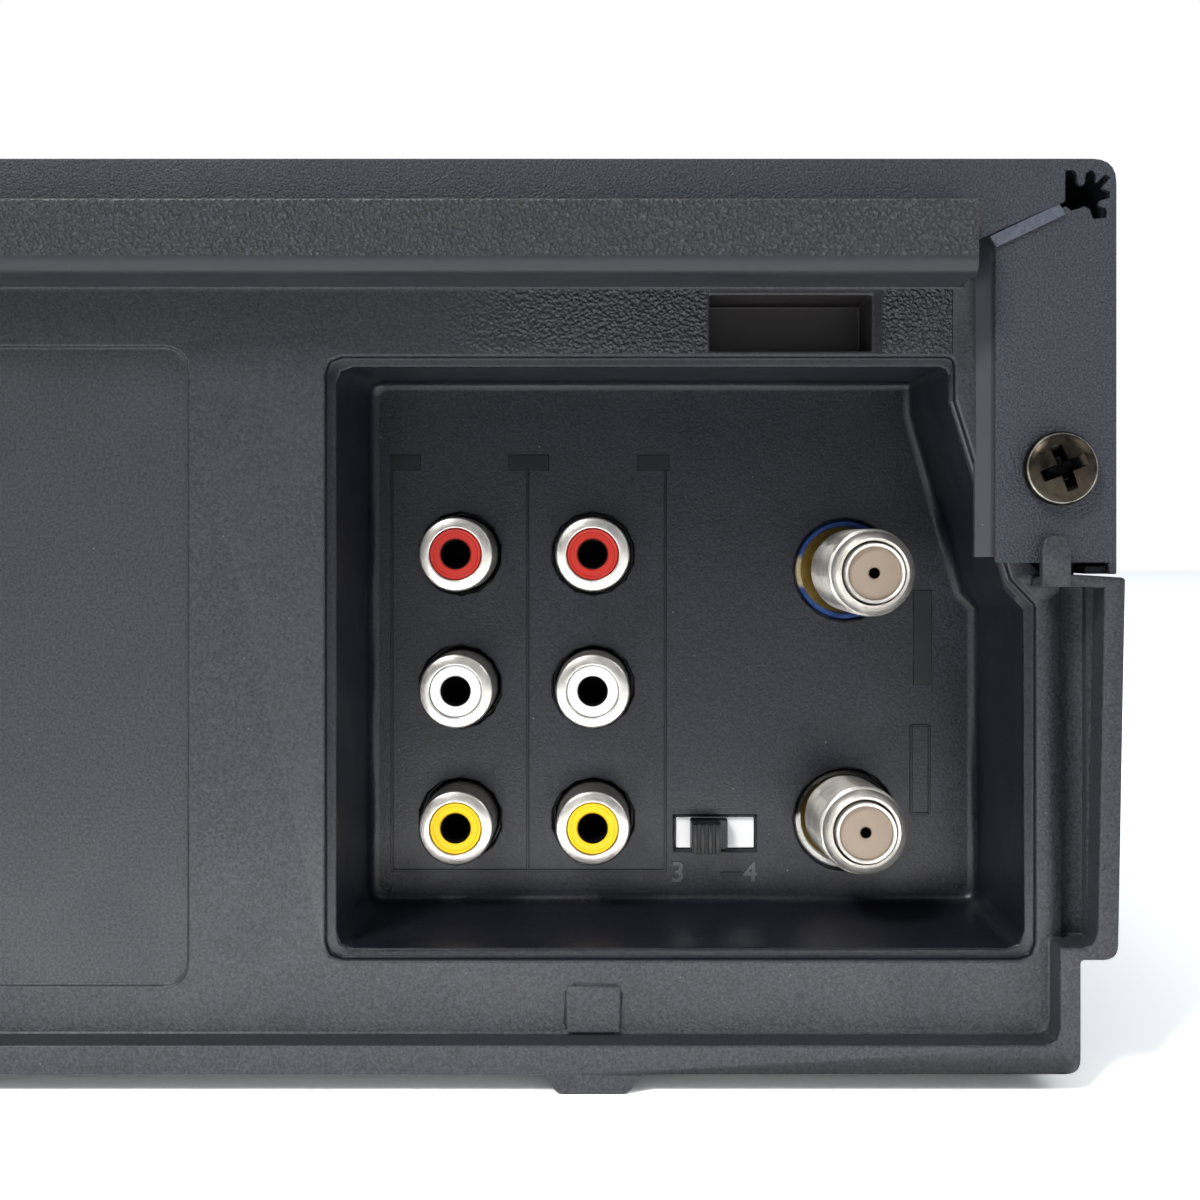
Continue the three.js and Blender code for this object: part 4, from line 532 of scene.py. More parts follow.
def circuit(name):
    """A phenolic board: brown laminate with a faint weave and lighter copper tracks."""
    made, tree, shader, place = new_material(name)
    dark, pale, copper = (0.26, 0.15, 0.06, 1), (0.33, 0.2, 0.085, 1), (0.4, 0.25, 0.1, 1)
    feeds = {"Vector": place, "Scale": 1 / (5 * MM)}
    cells = node(tree, "ShaderNodeTexVoronoi", feeds, distance="MANHATTAN").outputs["Distance"]
    lines = sums(tree, "LESS_THAN", sums(tree, "PINGPONG", cells, 0.12), 0.045)
    base = mixed(tree, noise(tree, place, 1.2 * MM, 3), dark, pale)
    shade = mixed(tree, lines, base, copper)
    tree.links.new(shade, shader.inputs["Base Color"])
    shader.inputs["Roughness"].default_value = 0.5
    tree.links.new(bump(tree, lines, 0.03 * MM), shader.inputs["Normal"])
    return made


def frame_finishes(f):
    """The finishes of the moulded frame, the cover and the screws."""
    smooth = dict(roughness=0.36, grain=0.5, depth=0.012)
    mark = dict(roughness=0.3, grain=0.6, depth=0.004, mottle=0.2, dust=0.1)
    pocket, steel = (0.02, 0.0165, 0.0175), (0.042, 0.034, 0.026)
    return {
        "moulding_grain": lambda n: moulded(n, f.moulding, depth=0.05, glint_speckle=0.6),
        "moulding_smooth": lambda n: moulded(n, f.moulding, **smooth),
        "moulding_leather": lambda n: leathery(n, f.moulding, size=0.44, depth=0.36),
        "moulding_wall": lambda n: leathery(
            n, f.moulding, size=0.4, depth=0.2, patches=WALL_PATCHES, shaded=WALL_POLISH
        ),
        "window_dark": lambda n: moulded(
            n, pocket, roughness=0.4, grain=0.5, depth=0.006, mottle=0.3, dust=0.15
        ),
        # Painted light: the strip takes the moulding's colour 1.9 times lighter, as where it catches the
        # light.
        "moulding_strip": lambda n: moulded(n, times(f.moulding, 1.9), **smooth),
        # The jack bay: smoother and glossier, and darker as painted shade of the recess.
        "bay_gloss": lambda n: moulded(
            n, f.bay, roughness=0.33, grain=0.26, mottle=0.2, dust=0.4, glint_speckle=1.0
        ),
        # Painted highlight: the numbers are 1.5 times lighter than the bay, in place of the light on
        # their edges.
        "number_gloss": lambda n: moulded(n, times(f.bay, 1.5), **mark, shine=0.5),
        # Painted shade: the marks are darker than the bay they are moulded with, as they look in shade.
        "marks": lambda n: moulded(n, times(f.bay, 0.55), **mark, shine=0.25),
        "textured_paint": lambda n: painted(n, f.cover),
        # Painted light: the cover's rear faces and folds take its paint 2.8 times lighter, as where the
        # light falls on them.
        "cover_lip": lambda n: painted(
            n, times(f.cover, 2.8), roughness=0.36, grain=0.5, depth=0.02, glint_speckle=0.3
        ),
        "blackened_steel": lambda n: screw_steel(n, steel),
    }


def front_finishes(f):
    """The finishes of the front panel, its keys and its window."""
    sign = dict(roughness=0.5, grain=0.4, depth=0.003, dust=0.0)
    return {
        "front_plastic": lambda n: moulded(n, f.front, grain=0.25, depth=0.012),
        "front_gloss": lambda n: moulded(n, f.front, roughness=0.2, grain=0.8, depth=0.003, dust=0.1),
        "key_moulding": lambda n: moulded(
            n, times(f.front, 1.8), roughness=0.34, depth=0.006, dust=0.1
        ),
        "key_mark": lambda n: moulded(n, (0.5, 0.5, 0.5), **sign),
        "record_mark": lambda n: moulded(n, (0.5, 0.03, 0.02), **sign),
        "smoked": lambda n: glossy_pane(n, (0.012, 0.011, 0.014)),
    }


def metal_finishes(f):
    """The plated and bare metals."""
    return {
        "nickel_plate": lambda n: plated(n, f.nickel, roughness=0.33, scratch=0.16, tarnish=0.18),
        "nickel_thread": lambda n: plated(
            n, times(f.nickel, 1.25), roughness=0.42, scratch=0.15, tarnish=0.14
        ),
        "zinc": lambda n: plated(
            n, (0.5, 0.5, 0.49), roughness=0.34, scratch=0.14, tarnish=0.1, brushed=(1, 12, 1)
        ),
        "steel": lambda n: plated(
            n, (0.46, 0.46, 0.47), roughness=0.28, scratch=0.1, tarnish=0.06, brushed=(12, 1, 1)
        ),
        "turned_aluminium": lambda n: plated(
            n, (0.74, 0.75, 0.77), roughness=0.16, scratch=0.06, tarnish=0.03, brushed=(1, 1, 16)
        ),
        "brass": lambda n: plated(n, (0.5, 0.36, 0.1), roughness=0.35, scratch=0.2, tarnish=0.2),
    }


def plastic_finishes(f):
    """The finishes of the jacks, the switch, the washers and the small pieces held inside."""
    jack = dict(grain=0.5, depth=0.004)
    black, white = (0.003, 0.003, 0.003), (0.88, 0.88, 0.89)
    blue, paper = (0.025, 0.065, 0.22), (0.5, 0.42, 0.26)
    shadow, bright = (0.012, 0.012, 0.012), (0.85, 0.84, 0.8)
    return {
        "video_plastic": lambda n: moulded(
            n, f.video, roughness=0.34, mottle=0.05, dust=0.05, **jack
        ),
        "left_plastic": lambda n: moulded(n, f.left, roughness=0.36, mottle=0.03, dust=0.0, **jack),
        "right_plastic": lambda n: moulded(
            n, f.right, roughness=0.34, mottle=0.06, dust=0.05, **jack
        ),
        # Painted shade: a black lining where the sockets' holes are only in shade.
        "socket_black": lambda n: moulded(
            n, black, roughness=0.7, mottle=0.2, dust=0, shine=0.08, **jack
        ),
        "dielectric": lambda n: moulded(
            n, f.dielectric, roughness=0.5, grain=0.4, depth=0.01, mottle=0.06, dust=0.0
        ),
        "washer_blue": lambda n: two_tone(n, blue, paper, low=49.9 * MM, high=53.2 * MM),
        "washer_pale": lambda n: two_tone(n, shadow, bright, low=10 * MM, high=23.6 * MM),
        "switch_white": lambda n: moulded(n, white, grain=0.4, depth=0.006, mottle=0.04, dust=0.0),
        "switch_black": lambda n: moulded(
            n, (0.016, 0.016, 0.018), roughness=0.38, grain=0.4, depth=0.008, mottle=0.1, dust=0.2
        ),
        "carriage_plastic": lambda n: moulded(
            n, (0.03, 0.03, 0.032), roughness=0.45, grain=0.4, depth=0.01
        ),
        "reel_plastic": lambda n: moulded(
            n, (0.62, 0.61, 0.58), roughness=0.4, grain=0.5, depth=0.006, mottle=0.04, dust=0.0
        ),
        "circuit_board": circuit,
        "soft_rubber": lambda n: rubber(n, (0.012, 0.012, 0.012)),
    }


def material_named(name):
    """The finish of that name, made when it is first asked for."""
    found = bpy.data.materials.get(name)
    if found:
        return found
    f = finishes()
    makers = {**frame_finishes(f), **front_finishes(f), **metal_finishes(f), **plastic_finishes(f)}
    return makers[name](name)


def placed(name, data):
    """An object that shows the data, linked to the scene."""
    made = bpy.data.objects.new(name, data)
    bpy.context.scene.collection.objects.link(made)
    return made


def plain_mesh(source):
    """The mesh of an object as its modifiers leave it."""
    graph = bpy.context.evaluated_depsgraph_get()
    return bpy.data.meshes.new_from_object(source.evaluated_get(graph))


def as_mesh(name, made):
    """A bmesh turned into a mesh of that name."""
    mesh = bpy.data.meshes.new(name)
    made.to_mesh(mesh)
    made.free()
    return mesh


def even_shading(mesh, smooth):
    """Smooth shading over the rounded edges that leaves the flat faces flat."""
    mesh.shade_smooth()
    mesh.set_sharp_from_angle(angle=math.radians(smooth))
    holder = placed("holder", mesh)
    even = holder.modifiers.new("even", "WEIGHTED_NORMAL")
    even.keep_sharp = True
    even.weight = 80
    shaded = plain_mesh(holder)
    bpy.data.objects.remove(holder)
    bpy.data.meshes.remove(mesh)
    level_wide_faces(shaded, 2.5 * MM)
    return shaded


def level_wide_faces(mesh, width):
    """Gives every face that is wider than the width its own direction at all its corners."""
    corners = [Vector(corner.vector) for corner in mesh.corner_normals]
    for face in mesh.polygons:
        spots = [mesh.vertices[i].co for i in face.vertices]
        around = sum((spot - spots[i - 1]).length for i, spot in enumerate(spots))
        if 2 * face.area > width * around:
            for i in face.loop_indices:
                corners[i] = face.normal.copy()
    mesh.normals_split_custom_set(corners)


def piece_of(name, mesh_or_bm, materials, body=CHASSIS, replaces=(), smooth=40):
    """Links a mesh as a finished piece that rides on a body.

    The materials are only for a mesh that has none yet, and smooth is the angle in degrees
    past which an edge stays sharp.
    """
    drawn = isinstance(mesh_or_bm, bmesh.types.BMesh)
    mesh = as_mesh(name, mesh_or_bm) if drawn else mesh_or_bm
    if not mesh.materials:
        for one in materials:
            mesh.materials.append(material_named(one))
    mesh = even_shading(mesh, smooth)
    mesh.name = name
    made = placed(name, mesh)
    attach(made, body)
    if replaces:
        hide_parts(*replaces)
    return made


def cad_copy(name, merge=4e-6, flat=0.6):
    """A merged copy of a CAD node's mesh, with its flat faces joined."""
    made = bmesh.new()
    made.from_mesh(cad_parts[name].data)
    for face in made.faces:
        face.material_index = 0
    bmesh.ops.remove_doubles(made, verts=made.verts, dist=merge)
    bmesh.ops.dissolve_limit(
        made,
        angle_limit=math.radians(flat),
        verts=made.verts,
        edges=made.edges,
    )
    return made


def flat_regions(made, limit=0.6):
    """Groups of neighbouring faces that lie in one plane, as lists of faces."""
    left = set(made.faces)
    groups = []
    while left:
        seed = left.pop()
        group, queue = [seed], [seed]
        while queue:
            face = queue.pop()
            for edge in face.edges:
                for other in edge.link_faces:
                    if other in left and other.normal.angle(seed.normal, 4) < math.radians(limit):
                        left.discard(other)
                        group.append(other)
                        queue.append(other)
        groups.append(group)
    return groups


def crossings(point, walls):
    """How many walls a ray from the point to the right passes."""
    x, y = point
    count = 0
    for (x0, y0), (x1, y1) in walls:
        if (y0 > y) != (y1 > y) and x < x0 + (y - y0) * (x1 - x0) / (y1 - y0):
            count += 1
    return count


def outline_of(group):
    """The edges round a group of faces, those of its holes included."""
    inside = set(group)
    return {e for f in group for e in f.edges if sum(other in inside for other in e.link_faces) == 1}


def split_at(made, outline, place):
    """Gives every edge of the outline that passes through a place a shared corner there."""
    born = []
    for edge in [e for e in outline if e.is_valid]:
        start, way = edge.verts[0].co, edge.verts[1].co - edge.verts[0].co
        share = (place - start).dot(way) / max(way.length_squared, 1e-18)
        if 0 < share < 1 and (start + way * share - place).length < 2e-7:
            other, corner = bmesh.utils.edge_split(edge, edge.verts[0], share)
            corner.co = place
            outline.add(other)
            born.append(corner)
    if len(born) > 1:
        bmesh.ops.weld_verts(made, targetmap={v: born[0] for v in born[1:]})


def refill(made, group, normal):
    """Fills a flat region anew from its outline, holes included."""
    if len(group) == 1 and len(group[0].verts) < 5:
        return
    outline = outline_of(group)
    origin = next(iter(outline)).verts[0].co.copy()
    across = normal.orthogonal().normalized()
    up = normal.cross(across)
    bmesh.ops.delete(made, geom=group, context="FACES_ONLY")
    walls = None
    for _ in range(3):
        outline = {e for e in outline if e.is_valid}
        corners = list({v for e in outline for v in e.verts})
        flat = [Vector(((v.co - origin).dot(across), (v.co - origin).dot(up))) / MM for v in corners]
        places = {v: i for i, v in enumerate(corners)}
        pairs = [tuple(places[v] for v in e.verts) for e in outline]
        walls = walls or [(flat[a], flat[b]) for a, b in pairs]
        found = delaunay_2d_cdt(flat, pairs, [], 0, 1e-6)
        points, triangles, sources = found[0], found[2], found[3]
        added = [p for p, source in zip(points, sources) if not source]
        if not added:
            break
        for point in added:
            split_at(made, outline, origin + (across * point.x + up * point.y) * MM)
    for triangle in triangles:
        middle = sum((points[i] for i in triangle), Vector((0, 0))) / 3
        if not crossings(middle, walls) % 2 or not all(sources[i] for i in triangle):
            continue
        ends = [corners[sources[i][0]] for i in triangle]
        if not made.faces.get(ends):
            made.faces.new(ends)


def is_crowded(edge, chosen, width):
    """Whether an edge beside this one is too short for a rounding of the width."""
    for near in (other for corner in edge.verts for other in corner.link_edges):
        room = 2.3 * width if near in chosen else 1.3 * width
        if near.calc_length() < room:
            return True
    return False


def roomy_edges(made, width, sharp):
    """The edges sharper than an angle in degrees that a rounding of the width has room for."""
    chosen = {
        e
        for e in made.edges
        if len(e.link_faces) == 2 and e.calc_face_angle(0) > math.radians(sharp)
    }
    crowded = {edge for edge in chosen if is_crowded(edge, chosen, width)}
    while crowded:
        chosen -= crowded
        crowded = {edge for edge in chosen if is_crowded(edge, chosen, width)}
    return chosen


def round_edges(made, width, segments=2, sharp=28):
    """Rounds every sharp edge that has room for it and leaves the rest as they are."""
    region = made.faces.layers.int.new("region")
    chosen = roomy_edges(made, width, sharp)
    groups = flat_regions(made)
    largest = [max(group, key=lambda f: f.calc_area()) for group in groups]
    normals = [face.normal.copy() for face in largest]
    places = [face.verts[0].co.copy() for face in largest]
    for number, group in enumerate(groups):
        for face in group:
            face[region] = number
    bmesh.ops.bevel(
        made,
        geom=list(chosen),
        offset=width,
        segments=segments,
        profile=0.5,
        affect="EDGES",
        clamp_overlap=False,
    )
    bmesh.ops.remove_doubles(made, verts=made.verts, dist=1e-7)
    for number, group in still_flat(made, region, places, normals).items():
        refill(made, group, normals[number])
    remove_loose(made)
    close_slits(made)
    remove_loose(made)
    return made


def still_flat(made, region, places, normals):
    """The faces that lie in the plane of the region they came from, as lists by its number."""
    found = {}
    for face in made.faces:
        number = face[region]
        start, normal = places[number], normals[number]
        level = all(abs((v.co - start).dot(normal)) < 0.03 * MM for v in face.verts)
        if level and face.normal.angle(normal, 4) < math.radians(3):
            found.setdefault(number, []).append(face)
    return found


def remove_loose(made):
    """Takes out the edges that no face uses."""
    loose = [e for e in made.edges if not e.link_faces]
    bmesh.ops.delete(made, geom=loose, context="EDGES")


def close_slits(made):
    """Closes the small gaps that are left where a refilled face meets a rounded edge."""
    bmesh.ops.dissolve_degenerate(made, dist=1e-6, edges=made.edges)
    rims = [e for e in made.edges if len(e.link_faces) == 1]
    bmesh.ops.holes_fill(made, edges=rims, sides=12)


def lathe(profile, centre, steps=None, part=None):
    """A profile of (radius, along) turned about the Y direction through centre, faces out.

    part tells which material a band has, from the middle of the band.
    """
    made = bmesh.new()
    steps = steps or sizes().round_steps
    turns = [math.tau * i / steps for i in range(steps)]
    rings = []
    for radius, along in profile:
        spots = [Vector((radius * math.sin(a), along, radius * math.cos(a))) for a in turns]
        if radius <= 0:
            spots = [Vector((0, along, 0))]
        rings.append([made.verts.new(centre + spot) for spot in spots])
    for k in range(len(rings) - 1):
        low, high = rings[k], rings[k + 1]
        middle = [(p + q) / 2 for p, q in zip(profile[k], profile[k + 1])]
        for i in range(steps):
            j = (i + 1) % steps
            if len(low) == 1 and len(high) == 1:
                continue
            if len(low) == 1:
                corners = [low[0], high[i], high[j]]
            elif len(high) == 1:
                corners = [low[i], high[0], low[j]]
            else:
                corners = [low[i], high[i], high[j], low[j]]
            face = made.faces.new(corners)
            if part:
                face.material_index = part(*middle)
    bmesh.ops.remove_doubles(made, verts=made.verts, dist=1e-7)
    bmesh.ops.recalc_face_normals(made, faces=made.faces)
    return made


def turned_ring(profile, centre, steps=None):
    """A closed profile turned about the Y direction: the last point is joined to the first."""
    return lathe([*profile, profile[0]], centre, steps)


def from_tip(tip, *points):
    """Profile points, from radii and distances back from the tip in millimetres."""
    return [(radius * MM, tip - back * MM) for radius, back in points]


def prism(made, first, second):
    """Draws the solid between two outlines of the same number of places."""
    ends = [[made.verts.new(spot) for spot in outline] for outline in (first, second)]
    for i in range(len(first)):
        j = (i + 1) % len(first)
        made.faces.new([ends[0][i], ends[0][j], ends[1][j], ends[1][i]])
    made.faces.new(ends[0])
    made.faces.new(ends[1])


def arc(centre, radius, start, end, steps=5):
    """Points (radius, along) on an arc, angles in degrees from the outward direction."""
    points = []
    for i in range(steps + 1):
        a = math.radians(start + (end - start) * i / steps)
        points.append((centre[0] + radius * math.cos(a), centre[1] + radius * math.sin(a)))
    return points


def tilt(made, root, about_x=0.0, about_z=0.0):
    """Leans a connector a little about its root."""
    turn = Matrix.Rotation(math.radians(about_x), 4, "X") @ Matrix.Rotation(
        math.radians(about_z), 4, "Z"
    )
    matrix = Matrix.Translation(root) @ turn @ Matrix.Translation(-root)
    bmesh.ops.transform(made, matrix=matrix, verts=made.verts)
    return made


def node_middle(name):
    """The middle of a CAD node's box, and its lowest and highest corners."""
    low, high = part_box(name)
    return (low + high) / 2, low, high


def baked(source, tree, feeds, name):
    """Runs a geometry tree on an object and gives back the plain mesh."""
    modifier = source.modifiers.new(name, "NODES")
    modifier.node_group = tree
    for item in tree.interface.items_tree:
        if item.item_type == "SOCKET" and item.in_out == "INPUT" and item.name in feeds:
            modifier[item.identifier] = feeds[item.name]
    mesh = plain_mesh(source)
    source.modifiers.remove(modifier)
    return mesh


def new_geometry_tree(name, inputs):
    """A geometry tree with named inputs, and the nodes at its two ends."""
    tree = bpy.data.node_groups.new(name, "GeometryNodeTree")
    tree.interface.new_socket("Geometry", in_out="INPUT", socket_type="NodeSocketGeometry")
    for label, kind, value in inputs:
        made = tree.interface.new_socket(label, in_out="INPUT", socket_type=kind)
        if value is not None:
            made.default_value = value
    tree.interface.new_socket("Geometry", in_out="OUTPUT", socket_type="NodeSocketGeometry")
    return tree, tree.nodes.new("NodeGroupInput"), tree.nodes.new("NodeGroupOutput")


def copies_tree():
    """Copies of a piece on a grid of columns and rows in the plane of the rear wall."""
    found = bpy.data.node_groups.get("Copies on a grid")
    if found:
        return found
    tree, given, out = new_geometry_tree(
        "Copies on a grid",
        [
            ("Columns", "NodeSocketInt", 2),
            ("Rows", "NodeSocketInt", 1),
            ("Across", "NodeSocketFloat", 0.01),
            ("Up", "NodeSocketFloat", 0.01),
            ("Turn", "NodeSocketFloat", 0.0),
            ("Material", "NodeSocketMaterial", None),
        ],
    )
    count = sums(tree, "MULTIPLY", given.outputs["Columns"], given.outputs["Rows"])
    points = node(tree, "GeometryNodePoints", {0: count})
    index = node(tree, "GeometryNodeInputIndex").outputs[0]
    column = sums(tree, "MODULO", index, given.outputs["Columns"])
    row = sums(tree, "FLOOR", sums(tree, "DIVIDE", index, given.outputs["Columns"]))
    x = sums(tree, "MULTIPLY", column, given.outputs["Across"])
    z = sums(tree, "MULTIPLY", row, given.outputs["Up"])
    place = node(tree, "ShaderNodeCombineXYZ", {0: x, 2: z}).outputs[0]
    moved = node(tree, "GeometryNodeSetPosition", {"Geometry": points.outputs[0], "Offset": place})
    turned = node(tree, "ShaderNodeCombineXYZ", {1: given.outputs["Turn"]}).outputs[0]
    feeds = {
        "Points": moved.outputs[0],
        "Instance": given.outputs["Geometry"],
        "Rotation": turned,
    }
    copies = node(tree, "GeometryNodeInstanceOnPoints", feeds)
    real = node(tree, "GeometryNodeRealizeInstances", {0: copies.outputs[0]})
    dressed = node(
        tree,
        "GeometryNodeSetMaterial",
        {"Geometry": real.outputs[0], "Material": given.outputs["Material"]},
    )
    tree.links.new(dressed.outputs[0], out.inputs[0])
    return tree


def copied(name, made, start, feeds, material):
    """A bmesh drawn about the origin, copied on a grid from start, as one plain mesh."""
    mesh = as_mesh(name, made)
    mesh.materials.append(material_named(material))
    source = placed(name + "_one", mesh)
    feeds = {**feeds, "Material": material_named(material)}
    many = baked(source, copies_tree(), feeds, name)
    bpy.data.objects.remove(source)
    bpy.data.meshes.remove(mesh)
    many.transform(Matrix.Translation(start))
    return many


def thread_tree():
    """A threaded barrel along Z: the wall of a cylinder moved in and out along a helix."""
    found = bpy.data.node_groups.get("Threaded barrel")
    if found:
        return found
    tree, given, out = new_geometry_tree(
        "Threaded barrel",
        [
            ("Radius", "NodeSocketFloat", 0.0047),
            ("Length", "NodeSocketFloat", 0.014),
            ("Pitch", "NodeSocketFloat", 0.0008),
            ("Depth", "NodeSocketFloat", 0.0004),
            ("Steps round", "NodeSocketInt", 72),
            ("Steps along", "NodeSocketInt", 100),
            ("Material", "NodeSocketMaterial", None),
        ],
    )
    tube = node(
        tree,
        "GeometryNodeMeshCylinder",
        {
            "Vertices": given.outputs["Steps round"],
            "Side Segments": given.outputs["Steps along"],
            "Radius": given.outputs["Radius"],
            "Depth": given.outputs["Length"],
        },
    )
    place = node(tree, "GeometryNodeInputPosition").outputs[0]
    parts = node(tree, "ShaderNodeSeparateXYZ", {0: place})
    angle = sums(tree, "DIVIDE", sums(tree, "ARCTAN2", parts.outputs[1], parts.outputs[0]), math.tau)
    turns = sums(tree, "DIVIDE", parts.outputs[2], given.outputs["Pitch"])
    wave = sums(tree, "PINGPONG", sums(tree, "FRACT", sums(tree, "SUBTRACT", turns, angle)), 0.5)
    cut = sums(tree, "MULTIPLY", sums(tree, "SUBTRACT", wave, 0.5), 2)
    half = sums(tree, "DIVIDE", given.outputs["Length"], 2)
    edge = sums(tree, "SUBTRACT", half, sums(tree, "ABSOLUTE", parts.outputs[2]))
    lead = ramp(tree, edge, 0.0, 0.9 * MM, 1.0, 0.0)
    deep = sums(tree, "MULTIPLY", cut, given.outputs["Depth"])
    run = sums(tree, "MULTIPLY", lead, given.outputs["Depth"])
    inward = sums(tree, "SUBTRACT", deep, run)
    flat = node(tree, "ShaderNodeCombineXYZ", {0: parts.outputs[0], 1: parts.outputs[1]}).outputs[0]
    out_way = node(tree, "ShaderNodeVectorMath", {0: flat}, operation="NORMALIZE").outputs[0]
    feeds = {0: out_way, "Scale": inward}
    shift = node(tree, "ShaderNodeVectorMath", feeds, operation="SCALE").outputs[0]
    moved = node(tree, "GeometryNodeSetPosition", {"Geometry": tube.outputs[0], "Offset": shift})
    real = node(tree, "GeometryNodeRealizeInstances", {0: moved.outputs[0]})
    dressed = node(
        tree,
        "GeometryNodeSetMaterial",
        {"Geometry": real.outputs[0], "Material": given.outputs["Material"]},
    )
    tree.links.new(dressed.outputs[0], out.inputs[0])
    return tree


def hollowed(mesh, bore):
    """Opens a solid barrel along Z into a tube with the given bore radius."""
    made = bmesh.new()
    made.from_mesh(mesh)
    ends = [face for face in made.faces if len(face.verts) > 4]
    for face in ends:
        outer = list(face.verts)
        along = sum(v.co.z for v in outer) / len(outer)
        inner = [
            made.verts.new((v.co.x * bore / v.co.xy.length, v.co.y * bore / v.co.xy.length, along))
            for v in outer
        ]
        for i in range(len(outer)):
            j = (i + 1) % len(outer)
            made.faces.new([outer[i], outer[j], inner[j], inner[i]])
    bmesh.ops.delete(made, geom=ends, context="FACES_ONLY")
    open_edges = [edge for edge in made.edges if len(edge.link_faces) == 1]
    bmesh.ops.bridge_loops(made, edges=open_edges)
    bmesh.ops.recalc_face_normals(made, faces=made.faces)
    made.to_mesh(mesh)
    made.free()
    return mesh


def joined(*meshes):
    """Several meshes or bmeshes as one bmesh; they are used up."""
    made = bmesh.new()
    for mesh in meshes:
        plain = as_mesh("part", mesh) if isinstance(mesh, bmesh.types.BMesh) else mesh
        made.from_mesh(plain)
        bpy.data.meshes.remove(plain)
    return made


def box_mesh(x0, x1, y0, y1, z0, z1, edge=0.0, segments=2):
    """A box between two corners, with its edges rounded by a radius."""
    made = bmesh.new()
    bmesh.ops.create_cube(made, size=1)
    middle = Vector(((x0 + x1) / 2, (y0 + y1) / 2, (z0 + z1) / 2))
    scale = Vector((abs(x1 - x0), abs(y1 - y0), abs(z1 - z0)))
    for vertex in made.verts:
        vertex.co = Vector(a * b for a, b in zip(vertex.co, scale)) + middle
    if edge:
        bmesh.ops.bevel(
            made, geom=list(made.edges), offset=edge, segments=segments, profile=0.5, affect="EDGES"
        )
    return made


# The photograph's camera looks straight at the rear wall, as the low lamp does
CAMERA_PLACE = (-0.129, 0.2755, 0.0544)
CAMERA_LENS, CAMERA_SENSOR = 45.45, 36
CAMERA_SHIFT = (-0.00833, -0.0458)
TOWARDS_REAR_WALL = (math.radians(90), 0, math.radians(180))
# Name, place, width, power and colour of the square lamps, which all point at one place
LAMPS = (
    ("key", (0.32, 0.72, 0.8), 0.22, 9.3, (1.0, 0.985, 0.955)),
    ("side", (-0.9, 0.5, 0.65), 0.4, 2.5, (1, 1, 1)),
    ("far", (0.3, -0.5, 1.2), 0.8, 6.0, (1, 1, 1)),
)
LAMP_AIM = (-0.13, 0.1, 0.05)
LOW_LAMP = ("low", (-0.11, 0.163, 0.005), 0.15, 0.024, (1, 1, 1))
LOW_LAMP_HEIGHT = 0.008
FLOOR_REACH = 3


